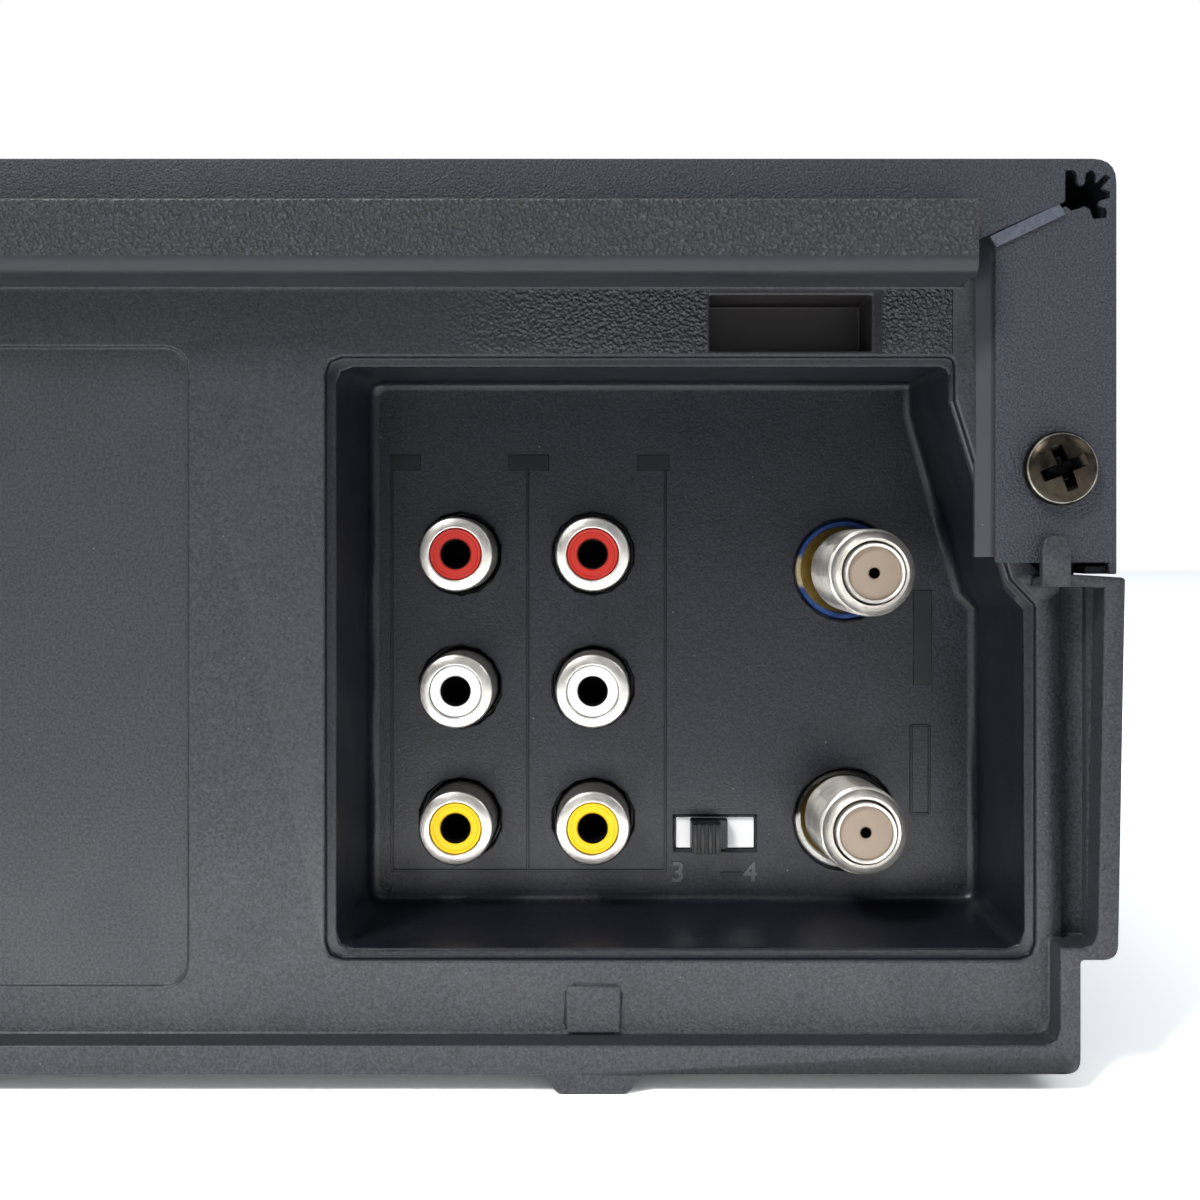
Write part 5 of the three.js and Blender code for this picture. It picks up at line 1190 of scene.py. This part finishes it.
class RECORDER_OT_stage(Operator):
    """Makes the floor, the lights and the camera of the photograph"""

    bl_idname = "recorder.stage"
    bl_label = "Stage"

    def execute(self, context):
        scene = context.scene
        scene.view_settings.view_transform = "Standard"
        self.floor()
        self.world(scene)
        for settings in LAMPS:
            self.lamp(*settings)
        self.low_lamp()
        self.camera(scene)
        return {"FINISHED"}

    def floor(self):
        """The ground that the recorder stands on."""
        made = bmesh.new()
        bmesh.ops.create_grid(made, x_segments=1, y_segments=1, size=FLOOR_REACH)
        ground = placed("floor", as_mesh("floor", made))
        ground.data.materials.append(self.floor_material())

    def seen_rays(self, tree):
        """1 on rays from the camera and through glass, and 1 on rays off a glossy skin."""
        rays = node(tree, "ShaderNodeLightPath")
        seen = sums(tree, "MAXIMUM", rays.outputs["Is Camera Ray"], rays.outputs["Is Transmission Ray"])
        return seen, rays.outputs["Is Glossy Ray"]

    def floor_material(self):
        """A pale floor whose colour is lifted to white where it is seen, shadows and all."""
        made = bpy.data.materials.new("floor_white")
        made.use_nodes = True
        tree = made.node_tree
        tree.nodes.clear()
        seen, glossy = self.seen_rays(tree)
        lift = sums(tree, "MULTIPLY", sums(tree, "MAXIMUM", seen, glossy), 0.82)
        lifted = node(tree, "ShaderNodeCombineColor", {0: lift, 1: lift, 2: lift}).outputs[0]
        pale = node(tree, "ShaderNodeBsdfDiffuse", {0: (0.86, 0.86, 0.86, 1)})
        more = node(tree, "ShaderNodeBsdfDiffuse", {0: lifted})
        both = node(tree, "ShaderNodeAddShader", {0: pale.outputs[0], 1: more.outputs[0]})
        output = node(tree, "ShaderNodeOutputMaterial")
        tree.links.new(both.outputs[0], output.inputs[0])
        return made

    def world(self, scene):
        """White where it is seen; as a light, a soft, cool sky that is brightest overhead."""
        world = bpy.data.worlds.new("studio")
        world.use_nodes = True
        scene.world = world
        tree = world.node_tree
        seen, glossy = self.seen_rays(tree)
        way = node(tree, "ShaderNodeTexCoord").outputs["Generated"]
        parts = node(tree, "ShaderNodeSeparateXYZ", {0: way}).outputs
        sky = ramp(tree, parts[2], 0.0, 0.9, 0.1, 0.75)
        behind = ramp(tree, parts[1], 0.3, -0.1, 0.0, 1.0, smooth=True)
        shown = sums(tree, "MAXIMUM", seen, sums(tree, "MULTIPLY", glossy, behind))
        cool, white = (0.9, 0.955, 1.0, 1), (1, 1, 1, 1)
        back = tree.nodes["Background"]
        tree.links.new(mixed(tree, shown, cool, white), back.inputs[0])
        tree.links.new(sums(tree, "MAXIMUM", shown, sky), back.inputs[1])

    def lamp(self, name, place, size, power, colour):
        """A square lamp that points at the jack bay."""
        data = bpy.data.lights.new(name, "AREA")
        data.shape = "SQUARE"
        data.size = size
        data.energy = power
        data.color = colour
        lamp = placed(name, data)
        lamp.location = place
        aim = Vector(LAMP_AIM) - lamp.location
        lamp.rotation_euler = aim.to_track_quat("-Z", "Y").to_euler()
        return lamp

    def low_lamp(self):
        """A low, wide lamp that faces the rear wall, in place of the light off a pale table."""
        low = self.lamp(*LOW_LAMP)
        low.data.shape = "RECTANGLE"
        low.data.size_y = LOW_LAMP_HEIGHT
        low.rotation_euler = TOWARDS_REAR_WALL

    def camera(self, scene):
        """The photograph's camera, with its shifted lens."""
        data = bpy.data.cameras.new("view")
        data.lens = CAMERA_LENS
        data.sensor_width = CAMERA_SENSOR
        data.shift_x, data.shift_y = CAMERA_SHIFT
        data.clip_start = 0.01
        camera = placed("view", data)
        camera.location = CAMERA_PLACE
        camera.rotation_euler = TOWARDS_REAR_WALL
        scene.camera = camera


# Zones of the frame in millimetres, as (low, high) pairs along X, Y and Z, and their finishes
ANYWHERE = (-math.inf, math.inf)
WALL_SLANT = ((165.2, math.inf), (120, math.inf), (51, math.inf))
LEDGE = (ANYWHERE, (125.9, math.inf), (80, math.inf))
LEDGE_LEATHER = (ANYWHERE, (125.9, math.inf), (82.3, math.inf))
POCKET = ((-156, -138.6), (-math.inf, 121.9), (73.6, 80.2))
BAY = ((-173.2, -99.5), (103.5, 121.6), (12, 73.8))
UPPER_WALL = (ANYWHERE, ANYWHERE, (52, math.inf))
FRAME_FINISHES = (
    "moulding_grain",
    "moulding_leather",
    "bay_gloss",
    "moulding_smooth",
    "moulding_wall",
    "moulding_strip",
    "window_dark",
)


def lies_in(spot, zone):
    """Whether a place lies between the zone's low and high ends along X, Y and Z."""
    return all(low < value < high for value, (low, high) in zip(spot, zone))


class RECORDER_OT_frame(Operator):
    """Dresses the moulded base frame: rounded edges, and a finish for each of its zones"""

    bl_idname = "recorder.base_frame"
    bl_label = "Base frame"

    def execute(self, context):
        made = cad_copy("base_frame")
        self.soften_bay(made, 1.1 * MM)
        round_edges(made, sizes().moulding_round)
        for face in made.faces:
            finish = self.finish_at(face.calc_center_median(), face.normal)
            face.material_index = FRAME_FINISHES.index(finish)
        piece_of("frame_moulding", made, FRAME_FINISHES, replaces=["base_frame"])
        self.strips()
        return {"FINISHED"}

    def strips(self):
        """The slanted edge of the upper wall, seen beside the cover's side flanges, in a lighter copy of
        the moulding as painted light.
        """
        outline = ((166.0, 121.9), (167.3, 123.05), (167.8, 123.05), (167.8, 121.2), (166.0, 121.2))
        bottom, top = 53.2 * MM, 91.5 * MM
        made = bmesh.new()
        for side in (-1, 1):
            ends = [[(side * x * MM, y * MM, z) for x, y in outline] for z in (bottom, top)]
            prism(made, *ends)
        bmesh.ops.recalc_face_normals(made, faces=made.faces)
        piece_of("wall_strips", made, ["moulding_strip"])

    def soften_bay(self, made, radius):
        """Rounds the hollow edge between the jack bay's floor and its walls."""
        chosen = []
        for edge in made.edges:
            level = all(abs(v.co.y - BAY_FLOOR) < 0.02 * MM for v in edge.verts)
            if not level or len(edge.link_faces) != 2:
                continue
            if max(face.calc_center_median().y for face in edge.link_faces) > BAY_FLOOR + 2 * MM:
                chosen.append(edge)
        bmesh.ops.bevel(
            made,
            geom=chosen,
            offset=radius,
            segments=5,
            profile=0.5,
            affect="EDGES",
            clamp_overlap=False,
        )

    def finish_at(self, at, normal):
        """The finish of a face of the frame, from where it lies and where it faces."""
        spot = at / MM
        # The slanted strip takes the lighter copy of the moulding, which is painted light.
        if lies_in((abs(spot.x), spot.y, spot.z), WALL_SLANT) and 0.2 < abs(normal.x) < 0.4:
            return "moulding_strip"
        if lies_in(spot, LEDGE_LEATHER) and normal.y > 0.5:
            return "moulding_leather"
        if lies_in(spot, LEDGE):
            return "moulding_smooth"
        if lies_in(spot, POCKET):
            return "window_dark"
        if lies_in(spot, BAY):
            return "bay_gloss"
        on_wall = abs(at.y - WALL_FACE) < 0.03 * MM and normal.y > 0.9
        if on_wall and lies_in(spot, UPPER_WALL):
            return "moulding_wall"
        return "moulding_grain"


class RECORDER_OT_cover(Operator):
    """Dresses the sheet-steel cover and adds the folded lip along its mitres"""

    bl_idname = "recorder.cover"
    bl_label = "Top cover"

    def execute(self, context):
        made = round_edges(cad_copy("top_cover"), sizes().sheet_round)
        names = ["textured_paint", "cover_lip"]
        # Faces behind this depth take the lighter copy of the paint, which is painted light.
        lip = 124.36 * MM
        for face in made.faces:
            face.material_index = int(face.calc_center_median().y > lip)
        piece_of("cover_shell", made, names, replaces=["top_cover"])
        self.folds()
        return {"FINISHED"}

    def folds(self):
        """The folded lips that close the mitres of the cover's rear flange, in the lighter copy of the
        paint that is painted light.
        """
        start, end, wide = Vector((167.5, 84.1)), Vector((174.4, 87.35)), 1.25
        section = ((0, 124.0), (0, 124.62), (1, 124.2), (1, 123.7))
        way = (end - start).normalized()
        up = Vector((-way.y, way.x)) * wide
        made = bmesh.new()
        for side in (-1, 1):
            ends = []
            for at in (start, end):
                spots = [(at + up * share, y) for share, y in section]
                ends.append([(side * spot.x * MM, y * MM, spot.y * MM) for spot, y in spots])
            prism(made, *ends)
        bmesh.ops.recalc_face_normals(made, faces=made.faces)
        piece_of("cover_folds", made, ["cover_lip"])


class RECORDER_OT_screws(Operator):
    """Makes the two dark cover screws with their crosses"""

    bl_idname = "recorder.screws"
    bl_label = "Cover screws"

    def execute(self, context):
        middle, low, high = node_middle("cover_screw_left")
        top = high.y - FLANGE_FACE
        head = self.head((high.x - low.x) / 2, low.y - FLANGE_FACE, top)
        made = self.with_cross(head, top)
        other = node_middle("cover_screw_right")[0]
        feeds = {
            "Columns": 2,
            "Rows": 1,
            "Across": other.x - middle.x,
            "Turn": sizes().screw_turn,
        }
        start = Vector((middle.x, FLANGE_FACE, middle.z))
        mesh = copied("screws", made, start, feeds, "blackened_steel")
        nodes = ["cover_screw_left", "cover_screw_right"]
        piece_of("cover_screws", mesh, ["blackened_steel"], replaces=nodes, smooth=35)
        return {"FINISHED"}

    def head(self, radius, root, top):
        """A screw without its cross: a shank, a flat seat, a straight rim and a domed top."""
        shank, rim_foot, rim_top = 1.7 * MM, 0.15 * MM, 0.75 * MM
        profile = [(0, root), (shank, root), (shank, 0), (radius * 0.98, 0)]
        profile += [(radius, rim_foot), (radius, rim_top)]
        profile += [
            (radius * math.cos(a), rim_top + (top - rim_top) * math.sin(a))
            for a in [math.radians(d) for d in (12, 26, 40, 55, 70, 82)]
        ]
        return lathe([*profile, (0, top)], ORIGIN, 48)

    def with_cross(self, head, top):
        """Cuts the cross out of the head and rounds what is left."""
        screw = placed("screw_head", as_mesh("screw_head", head))
        cutter = placed("cross", as_mesh("cross", self.cross(top)))
        cut = screw.modifiers.new("cross", "BOOLEAN")
        cut.operation = "DIFFERENCE"
        cut.solver = "EXACT"
        cut.use_self = True
        cut.object = cutter
        made = bmesh.new()
        made.from_mesh(plain_mesh(screw))
        for one in (screw, cutter):
            bpy.data.objects.remove(one)
        return round_edges(made, 0.09 * MM, 2, 40)

    def cross(self, top):
        """Two bars across each other that taper towards the shank."""
        mouth = (2.9 * MM, top + 0.4 * MM, 0.66 * MM)
        depth = (1.2 * MM, top - 1.7 * MM, 0.42 * MM)
        signs = ((-1, -1), (1, -1), (1, 1), (-1, 1))
        bars = []
        for turn in (0, 90):
            ends = [
                [(sx * reach, along, sz * half) for sx, sz in signs]
                for reach, along, half in (mouth, depth)
            ]
            bar = bmesh.new()
            prism(bar, *ends)
            bmesh.ops.rotate(bar, matrix=Matrix.Rotation(math.radians(turn), 3, "Y"), verts=bar.verts)
            bmesh.ops.recalc_face_normals(bar, faces=bar.faces)
            bars.append(bar)
        return joined(*bars)


class RECORDER_OT_jacks(Operator):
    """Makes the six phono jacks: rolled nickel shells and coloured insulators"""

    bl_idname = "recorder.jacks"
    bl_label = "Phono jacks"

    def execute(self, context):
        first, low, high = node_middle("jack_shell_video_in")
        across = node_middle("jack_shell_video_out")[0].x - first.x
        up = node_middle("jack_shell_left_in")[0].z - first.z
        length = high.y - low.y
        outer, inner, lip = 4.1 * MM, 3.25 * MM, 0.42 * MM
        edge = (outer - lip, length - 0.2 * MM - lip)
        shell = [(inner, 0), (outer, 0), (outer, length * 0.5)]
        shell += arc(edge, lip, 0, 72, 6)
        shell += from_tip(length, (3.4, 0.1), (3.05, 0.02), (2.93, 0.02), (2.86, 0.09))
        shell += from_tip(length, (2.85, 1.1), (3.25, 1.3))
        made = turned_ring(shell, ORIGIN)
        feeds = {"Columns": 2, "Rows": 3, "Across": across, "Up": up}
        start = Vector((first.x, low.y, first.z))
        mesh = copied("jack_shells", made, start, feeds, "nickel_plate")
        rows = ("video", "left", "right")
        shells = [f"jack_shell_{row}_{way}" for row in rows for way in ("in", "out")]
        piece_of("jack_shells", mesh, ["nickel_plate"], replaces=shells, smooth=50)
        slots = {"video": "yellow_plastic", "left": "white_plastic", "right": "red_plastic"}
        for row in rows:
            self.insulators(row, across, slots[row])
        return {"FINISHED"}

    def insulators(self, row, across, slot):
        """The coloured insulators of one row, and the black linings of their sockets, which are painted
        shade.
        """
        middle, low, _ = node_middle(f"jack_insulator_{row}_in")
        face = node_middle(f"jack_shell_{row}_in")[2].y - low.y - 0.16 * MM
        outer, socket, deep = 2.83 * MM, 1.66 * MM, 8 * MM
        core = [(0, 0), (outer - 0.05 * MM, 0), (outer, face - 0.2 * MM)]
        core += [(outer - 0.1 * MM, face - 0.05 * MM)]
        core += from_tip(face, (2.5, 0.03), (2.44, 0.07), (2.38, 0))
        core += [(socket + 0.16 * MM, face), (socket + 0.02 * MM, face - 0.12 * MM)]
        core += [(socket + 0.01 * MM, face - deep), (0, face - deep)]
        made = lathe(core, ORIGIN, 64)
        start = Vector((middle.x, low.y, middle.z))
        feeds = {"Columns": 2, "Rows": 1, "Across": across}
        names = [f"jack_insulator_{row}_{way}" for way in ("in", "out")]
        mesh = copied(f"insulators_{row}", made, start, feeds, f"{row}_plastic")
        piece_of(f"insulators_{row}", mesh, [f"{row}_plastic"], replaces=names)
        made = turned_ring(self.liner(socket, face, face - deep), ORIGIN, 48)
        mesh = copied(f"sockets_{row}", made, start, feeds, "socket_black")
        piece_of(f"sockets_{row}", mesh, ["socket_black"])

    def liner(self, socket, face, back):
        """The profile of a socket's black lining, painted shade from its mouth to its closed back."""
        mouth = [(socket, face - 0.16 * MM), (socket - 0.1 * MM, face - 0.12 * MM)]
        wall = [(socket - 0.16 * MM, face - 0.4 * MM), (socket - 0.2 * MM, back + 0.2 * MM)]
        floor = [(0, back + 0.2 * MM), (0, back + 0.05 * MM), (socket, back + 0.05 * MM)]
        return mouth + wall + floor


# Profiles of the antenna connectors' flat rings, as radii and distances from the connector's
# root in millimetres, and the sizes of the thread
WASHER_RING = ((4.85, 4.4), (5.6, 4.4), (5.62, 5.4), (5.4, 5.7), (5.0, 5.5))
SEAT_RING = ((3.4, 2.6), (5.5, 2.6), (5.5, 4.3), (3.4, 2.9))
THREAD_START = 5.2 * MM
THREAD_TO_TIP = 1.45 * MM
THREAD_RADIUS = 4.68 * MM
THREAD_BORE = 3.42 * MM
STEPS_IN_A_TURN = 8


class RECORDER_OT_antenna(Operator):
    """Makes the two threaded antenna connectors, their cores and washers"""

    bl_idname = "recorder.antenna"
    bl_label = "Antenna connectors"

    def execute(self, context):
        self.connector("antenna_in", up=-0.4, aside=1.0, off=-0.65 * MM, washer="washer_blue")
        self.connector("antenna_out", up=2.9, aside=0.3, off=0, washer="washer_pale")
        return {"FINISHED"}

    def connector(self, name, up, aside, off, washer):
        """One connector, which leans by two angles in degrees and stands off its washer's middle."""
        middle, low, high = node_middle(f"{name}_connector")
        seat_root = Vector((middle.x, low.y, middle.z))
        root = seat_root + Vector((off, 0, 0))
        length = high.y - low.y
        piece_of(
            f"{name}_barrel",
            tilt(self.barrel(root, length), root, up, aside),
            ["nickel_thread"],
            replaces=[f"{name}_connector"],
            smooth=50,
        )
        piece_of(
            f"{name}_core",
            tilt(self.core(root, length - 0.42 * MM), root, up, aside),
            ["dielectric", "socket_black"],
            replaces=[f"{name}_dielectric"],
        )
        for part, ring, finish in (("washer", WASHER_RING, washer), ("seat", SEAT_RING, "brass")):
            profile = [(radius * MM, along * MM) for radius, along in ring]
            piece_of(f"{name}_{part}", turned_ring(profile, seat_root), [finish])

    def barrel(self, root, length):
        """The threaded tube, the plain tube with the nose inside it, and the lead-in chamfer."""
        run = length - THREAD_START - THREAD_TO_TIP
        shoulder, end = THREAD_START + 0.3 * MM, THREAD_START + run
        nose = [(2.9 * MM, 0), (4.2 * MM, 0), (4.2 * MM, shoulder), (3.17 * MM, shoulder)]
        nose += from_tip(length, (3.17, 0.14), (3.1, 0), (2.92, 0), (2.8, 0.1), (2.76, 0.9))
        lead = [(THREAD_BORE, end - 0.1 * MM), (4.4 * MM, end - 0.1 * MM), (4.4 * MM, end + 0.1 * MM)]
        lead += from_tip(length, (3.85, 0.85), (3.7, 0.7), (3.42, 0.8))
        return joined(self.thread(root, run), turned_ring(nose, root), turned_ring(lead, root))

    def thread(self, root, run):
        """The threaded tube: a barrel from the tree, bored and laid along Y."""
        s = sizes()
        feeds = {
            "Radius": THREAD_RADIUS,
            "Length": run,
            "Pitch": s.thread_pitch,
            "Depth": s.thread_depth,
            "Steps round": s.round_steps,
            "Steps along": int(run / s.thread_pitch * STEPS_IN_A_TURN),
            "Material": material_named("nickel_thread"),
        }
        source = placed("thread", bpy.data.meshes.new("thread"))
        made = baked(source, thread_tree(), feeds, "thread")
        bpy.data.objects.remove(source)
        middle = Matrix.Translation(root + Vector((0, THREAD_START + run / 2, 0)))
        made = hollowed(made, THREAD_BORE)
        made.transform(middle @ Matrix.Rotation(math.radians(-90), 4, "X"))
        return made

    def core(self, root, face):
        """The insulator, and as its second material the hole for the pin, painted black as painted shade.
        """
        hole, mouth, back = 0.6 * MM, face - 0.3 * MM, face - 4.5 * MM
        profile = [(0, 0.5 * MM), (2.75 * MM, 0.5 * MM)]
        profile += from_tip(face, (2.75, 0.08), (2.62, 0), (0.74, 0), (0.58, 0.18))
        profile += from_tip(face, (0.52, 4), (0, 4))
        return lathe(profile, root, 48, lambda radius, along: int(radius < hole and back < along < mouth))


class RECORDER_OT_switch(Operator):
    """Makes the ribbed knob of the channel switch and the white face under it"""

    bl_idname = "recorder.channel_switch"
    bl_label = "Channel switch"

    def execute(self, context):
        middle, low, high = node_middle("channel_switch_knob")
        step, rib_height, count = 0.9 * MM, 0.5 * MM, 4
        seat = BAY_FLOOR - 0.55 * MM
        plate = box_mesh(low.x, high.x, seat, BAY_FLOOR + 0.9 * MM, low.z, high.z, 0.12 * MM)
        stem = box_mesh(low.x + step, high.x, seat, high.y - rib_height, low.z, high.z, 0.15 * MM)
        pitch = (high.x - low.x - step) / count
        bottom, top = low.z - middle.z, high.z - middle.z
        rib = box_mesh(-pitch * 0.3, pitch * 0.3, -rib_height, rib_height, bottom, top, 0.14 * MM)
        feeds = {"Columns": count, "Rows": 1, "Across": pitch}
        start = Vector((low.x + step + pitch / 2, high.y - rib_height, middle.z))
        ribs = copied("knob_ribs", rib, start, feeds, "switch_black")
        piece_of(
            "switch_knob",
            joined(plate, stem, ribs),
            ["switch_black"],
            body="channel_knob",
            replaces=["channel_switch_knob"],
        )
        self.pad(middle)
        return {"FINISHED"}

    def pad(self, middle):
        """The white face of the switch's body, on which the knob slides."""
        back, front = 101.35 * MM, BAY_FLOOR - 0.6 * MM
        half, tall, travel = 4.45 * MM, 1.76 * MM, 1.5 * MM
        centre = middle.x - travel / 2
        z = middle.z
        made = box_mesh(centre - half, centre + half, back, front, z - tall, z + tall, 0.12 * MM)
        piece_of("switch_face", made, ["switch_white"])


# The marks on the jack bay's floor, in millimetres: upright lines as (x, z0, z1), level lines
# as (z, x0, x1), bars as (x0, x1, z0, z1), and numbers as (figure, x, z)
LINE = 0.3
UPRIGHTS = (
    (-104.35, 17.6, 62.9),
    (-119.7, 17.6, 62.9),
    (-135.25, 17.6, 62.9),
    (-165.1, 24, 34),
    (-163.05, 24, 34),
)
LEVELS = ((17.6, -135.4, -104.2), (24, -165.0, -163.1), (34, -165.0, -163.1))
BARS = (
    (-107.6, -104.2, 62.8, 64.6),
    (-122.1, -117.5, 62.8, 64.6),
    (-135.7, -132.1, 62.8, 64.6),
    (-165.4, -163.3, 38.6, 49.3),
    (-144.1, -141.6, 17.2, 17.45),
)
NUMBERS = (("3", -135.9, 18.5), ("4", -144.1, 18.5))
# How deep the marks reach into the floor
SUNK = 0.1 * MM


class RECORDER_OT_marks(Operator):
    """Makes the moulded marks on the jack bay's floor: group lines, brackets and two numbers"""

    bl_idname = "recorder.marks"
    bl_label = "Bay marks"

    def execute(self, context):
        places = [(x - LINE / 2, x + LINE / 2, z0, z1) for x, z0, z1 in UPRIGHTS]
        places += [(x0, x1, z - LINE / 2, z + LINE / 2) for z, x0, x1 in LEVELS]
        marks = joined(*[self.bar(*place) for place in [*places, *BARS]])
        # The marks take the darker finish, which is painted shade.
        piece_of("bay_marks", marks, ["marks"])
        # The numbers take the lighter finish, which is a painted highlight.
        digits = joined(*[self.digit(*number) for number in NUMBERS])
        piece_of("channel_numbers", digits, ["number_gloss"])
        return {"FINISHED"}

    def bar(self, x0, x1, z0, z1):
        """A bar that stands on the bay's floor, from its ends in millimetres."""
        x0, x1, z0, z1 = (end * MM for end in (x0, x1, z0, z1))
        back, front = BAY_FLOOR - SUNK, BAY_FLOOR + sizes().mark_height
        return box_mesh(x0, x1, back, front, z0, z1, 0.05 * MM, 1)

    def digit(self, figure, x, z):
        """A plain number, drawn with the built-in face and stood on the bay's floor."""
        height = sizes().mark_height
        data = bpy.data.curves.new("digit", "FONT")
        data.body = figure
        data.size = 3.1 * MM
        data.offset = 0.06 * MM
        data.extrude = (height + SUNK) / 2
        text = placed("digit", data)
        mesh = plain_mesh(text)
        bpy.data.objects.remove(text)
        y, foot = BAY_FLOOR + (height - SUNK) / 2, z * MM - 2.1 * MM
        mesh.transform(Matrix(((-1, 0, 0, x * MM), (0, 0, 1, y), (0, 1, 0, foot), (0, 0, 0, 1))))
        made = bmesh.new()
        made.from_mesh(mesh)
        bpy.data.meshes.remove(mesh)
        bmesh.ops.remove_doubles(made, verts=made.verts, dist=1e-6)
        bmesh.ops.recalc_face_normals(made, faces=made.faces)
        return made


# The sign on each key as outlines of (x, z), in units of half its height
ROUND_MARK = [(math.cos(i * math.pi / 16), math.sin(i * math.pi / 16)) for i in range(32)]
KEYS = {
    "rewind_button": [[(0, -1), (0, 1), (-1.5, 0)], [(1.5, -1), (1.5, 1), (0, 0)]],
    "play_button": [[(-0.8, -1), (0.9, 0), (-0.8, 1)]],
    "fast_forward_button": [[(-1.5, -1), (0, 0), (-1.5, 1)], [(0, -1), (1.5, 0), (0, 1)]],
    "record_button": [ROUND_MARK],
    "power_button": [[(-0.12, -0.9), (0.12, -0.9), (0.12, 0.9), (-0.12, 0.9)]],
    "stop_eject_button": [[(-0.9, -0.9), (0.9, -0.9), (0.9, 0.9), (-0.9, 0.9)]],
}
# Half a sign's height, how deep it is, and how far it stands out of its key
SIGN_SIZE, SIGN_DEPTH, SIGN_HEIGHT = 1.6 * MM, 0.3 * MM, 0.08 * MM


class RECORDER_OT_front(Operator):
    """Dresses the front panel, the cassette door, the display window and the keys"""

    bl_idname = "recorder.front"
    bl_label = "Front"

    def execute(self, context):
        s = sizes()
        made = round_edges(cad_copy("front_panel"), s.moulding_round)
        piece_of("front_moulding", made, ["front_plastic"], replaces=["front_panel"])
        made = round_edges(cad_copy("cassette_door"), s.moulding_round)
        piece_of(
            "door_flap",
            made,
            ["front_gloss"],
            body="cassette_door",
            replaces=["cassette_door"],
        )
        made = round_edges(cad_copy("display_window"), 0.2 * MM)
        piece_of("window_pane", made, ["smoked"], replaces=["display_window"])
        for name in [*KEYS, "channel_rocker"]:
            self.key(name, s.key_round)
            if name in KEYS:
                self.symbol(name)
        return {"FINISHED"}

    def key(self, name, width):
        """A key with rounded edges, its face set back by what its sign stands out."""
        made = cad_copy(name)
        front = min(vert.co.y for vert in made.verts)
        for vert in made.verts:
            if vert.co.y < front + 0.01 * MM:
                vert.co.y += SIGN_HEIGHT
        piece_of(
            name.replace("_button", "") + "_key",
            round_edges(made, width, 3),
            ["key_moulding"],
            body=name,
            replaces=[name],
        )

    def symbol(self, name):
        """The plain sign on a key, standing a hair proud of its face."""
        middle, low, _ = node_middle(name)
        made = bmesh.new()
        for shape in KEYS[name]:
            spots = [(middle.x + x * SIGN_SIZE, middle.z + z * SIGN_SIZE) for x, z in shape]
            ends = [[(x, y, z) for x, z in spots] for y in (low.y, low.y + SIGN_DEPTH)]
            prism(made, *ends)
        bmesh.ops.recalc_face_normals(made, faces=made.faces)
        finish = "record_mark" if name == "record_button" else "key_mark"
        piece_of(name.replace("_button", "") + "_sign", made, [finish], body=name)


# The finish of each piece that is held inside or below, whose CAD shape stays as it is
INNER = {
    "front_foot_left": "soft_rubber",
    "front_foot_right": "soft_rubber",
    "phono_jack_block": "switch_black",
    "tuner_can": "zinc",
    "channel_switch_body": "switch_white",
    "main_board": "circuit_board",
    "power_board": "circuit_board",
    "front_board": "circuit_board",
    "power_transformer": "steel",
    "display_module": "smoked",
    "deck_plate": "zinc",
    "lower_drum": "turned_aluminium",
    "upper_drum": "turned_aluminium",
    "drum_rotor": "steel",
    "capstan": "steel",
    "pinch_arm": "zinc",
    "pinch_roller": "soft_rubber",
    "supply_reel_table": "reel_plastic",
    "takeup_reel_table": "reel_plastic",
    "idler_arm": "zinc",
    "idler_wheel": "soft_rubber",
    "supply_guide": "steel",
    "takeup_guide": "steel",
    "audio_head": "nickel_plate",
    "erase_head": "nickel_plate",
    "cassette_holder": "zinc",
    "carriage_slider": "zinc",
    "side_frame_left": "carriage_plastic",
    "side_frame_right": "carriage_plastic",
}


class RECORDER_OT_inside(Operator):
    """Gives every piece that is held inside or below its own finish"""

    bl_idname = "recorder.inside"
    bl_label = "Inside"

    def execute(self, context):
        for name, finish in INNER.items():
            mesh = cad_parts[name].data
            mesh.materials.clear()
            mesh.materials.append(material_named(finish))
        return {"FINISHED"}


OPERATORS = (
    RECORDER_OT_stage,
    RECORDER_OT_frame,
    RECORDER_OT_cover,
    RECORDER_OT_screws,
    RECORDER_OT_jacks,
    RECORDER_OT_antenna,
    RECORDER_OT_switch,
    RECORDER_OT_marks,
    RECORDER_OT_front,
    RECORDER_OT_inside,
)


class RECORDER_PT_sidebar(Panel):
    """The recorder's steps, sizes and finishes in the 3D view's sidebar"""

    bl_label = "Cassette recorder"
    bl_idname = "RECORDER_PT_sidebar"
    bl_space_type = "VIEW_3D"
    bl_region_type = "UI"
    bl_category = "Recorder"

    def draw(self, context):
        layout = self.layout
        for group in (context.scene.recorder_sizes, context.scene.recorder_finishes):
            box = layout.box()
            for name in group.bl_rna.properties.keys():
                if name not in ("rna_type", "name"):
                    box.prop(group, name)
        for one in OPERATORS:
            layout.operator(one.bl_idname)


CLASSES = (RecorderSizes, RecorderFinishes, *OPERATORS, RECORDER_PT_sidebar)


def register():
    for one in CLASSES:
        bpy.utils.register_class(one)
    bpy.types.Scene.recorder_sizes = PointerProperty(type=RecorderSizes)
    bpy.types.Scene.recorder_finishes = PointerProperty(type=RecorderFinishes)


def unregister():
    del bpy.types.Scene.recorder_finishes
    del bpy.types.Scene.recorder_sizes
    for one in reversed(CLASSES):
        bpy.utils.unregister_class(one)


def main():
    register()
    for one in OPERATORS:
        group, name = one.bl_idname.split(".")
        getattr(getattr(bpy.ops, group), name)()


if __name__ == "__main__":
    main()
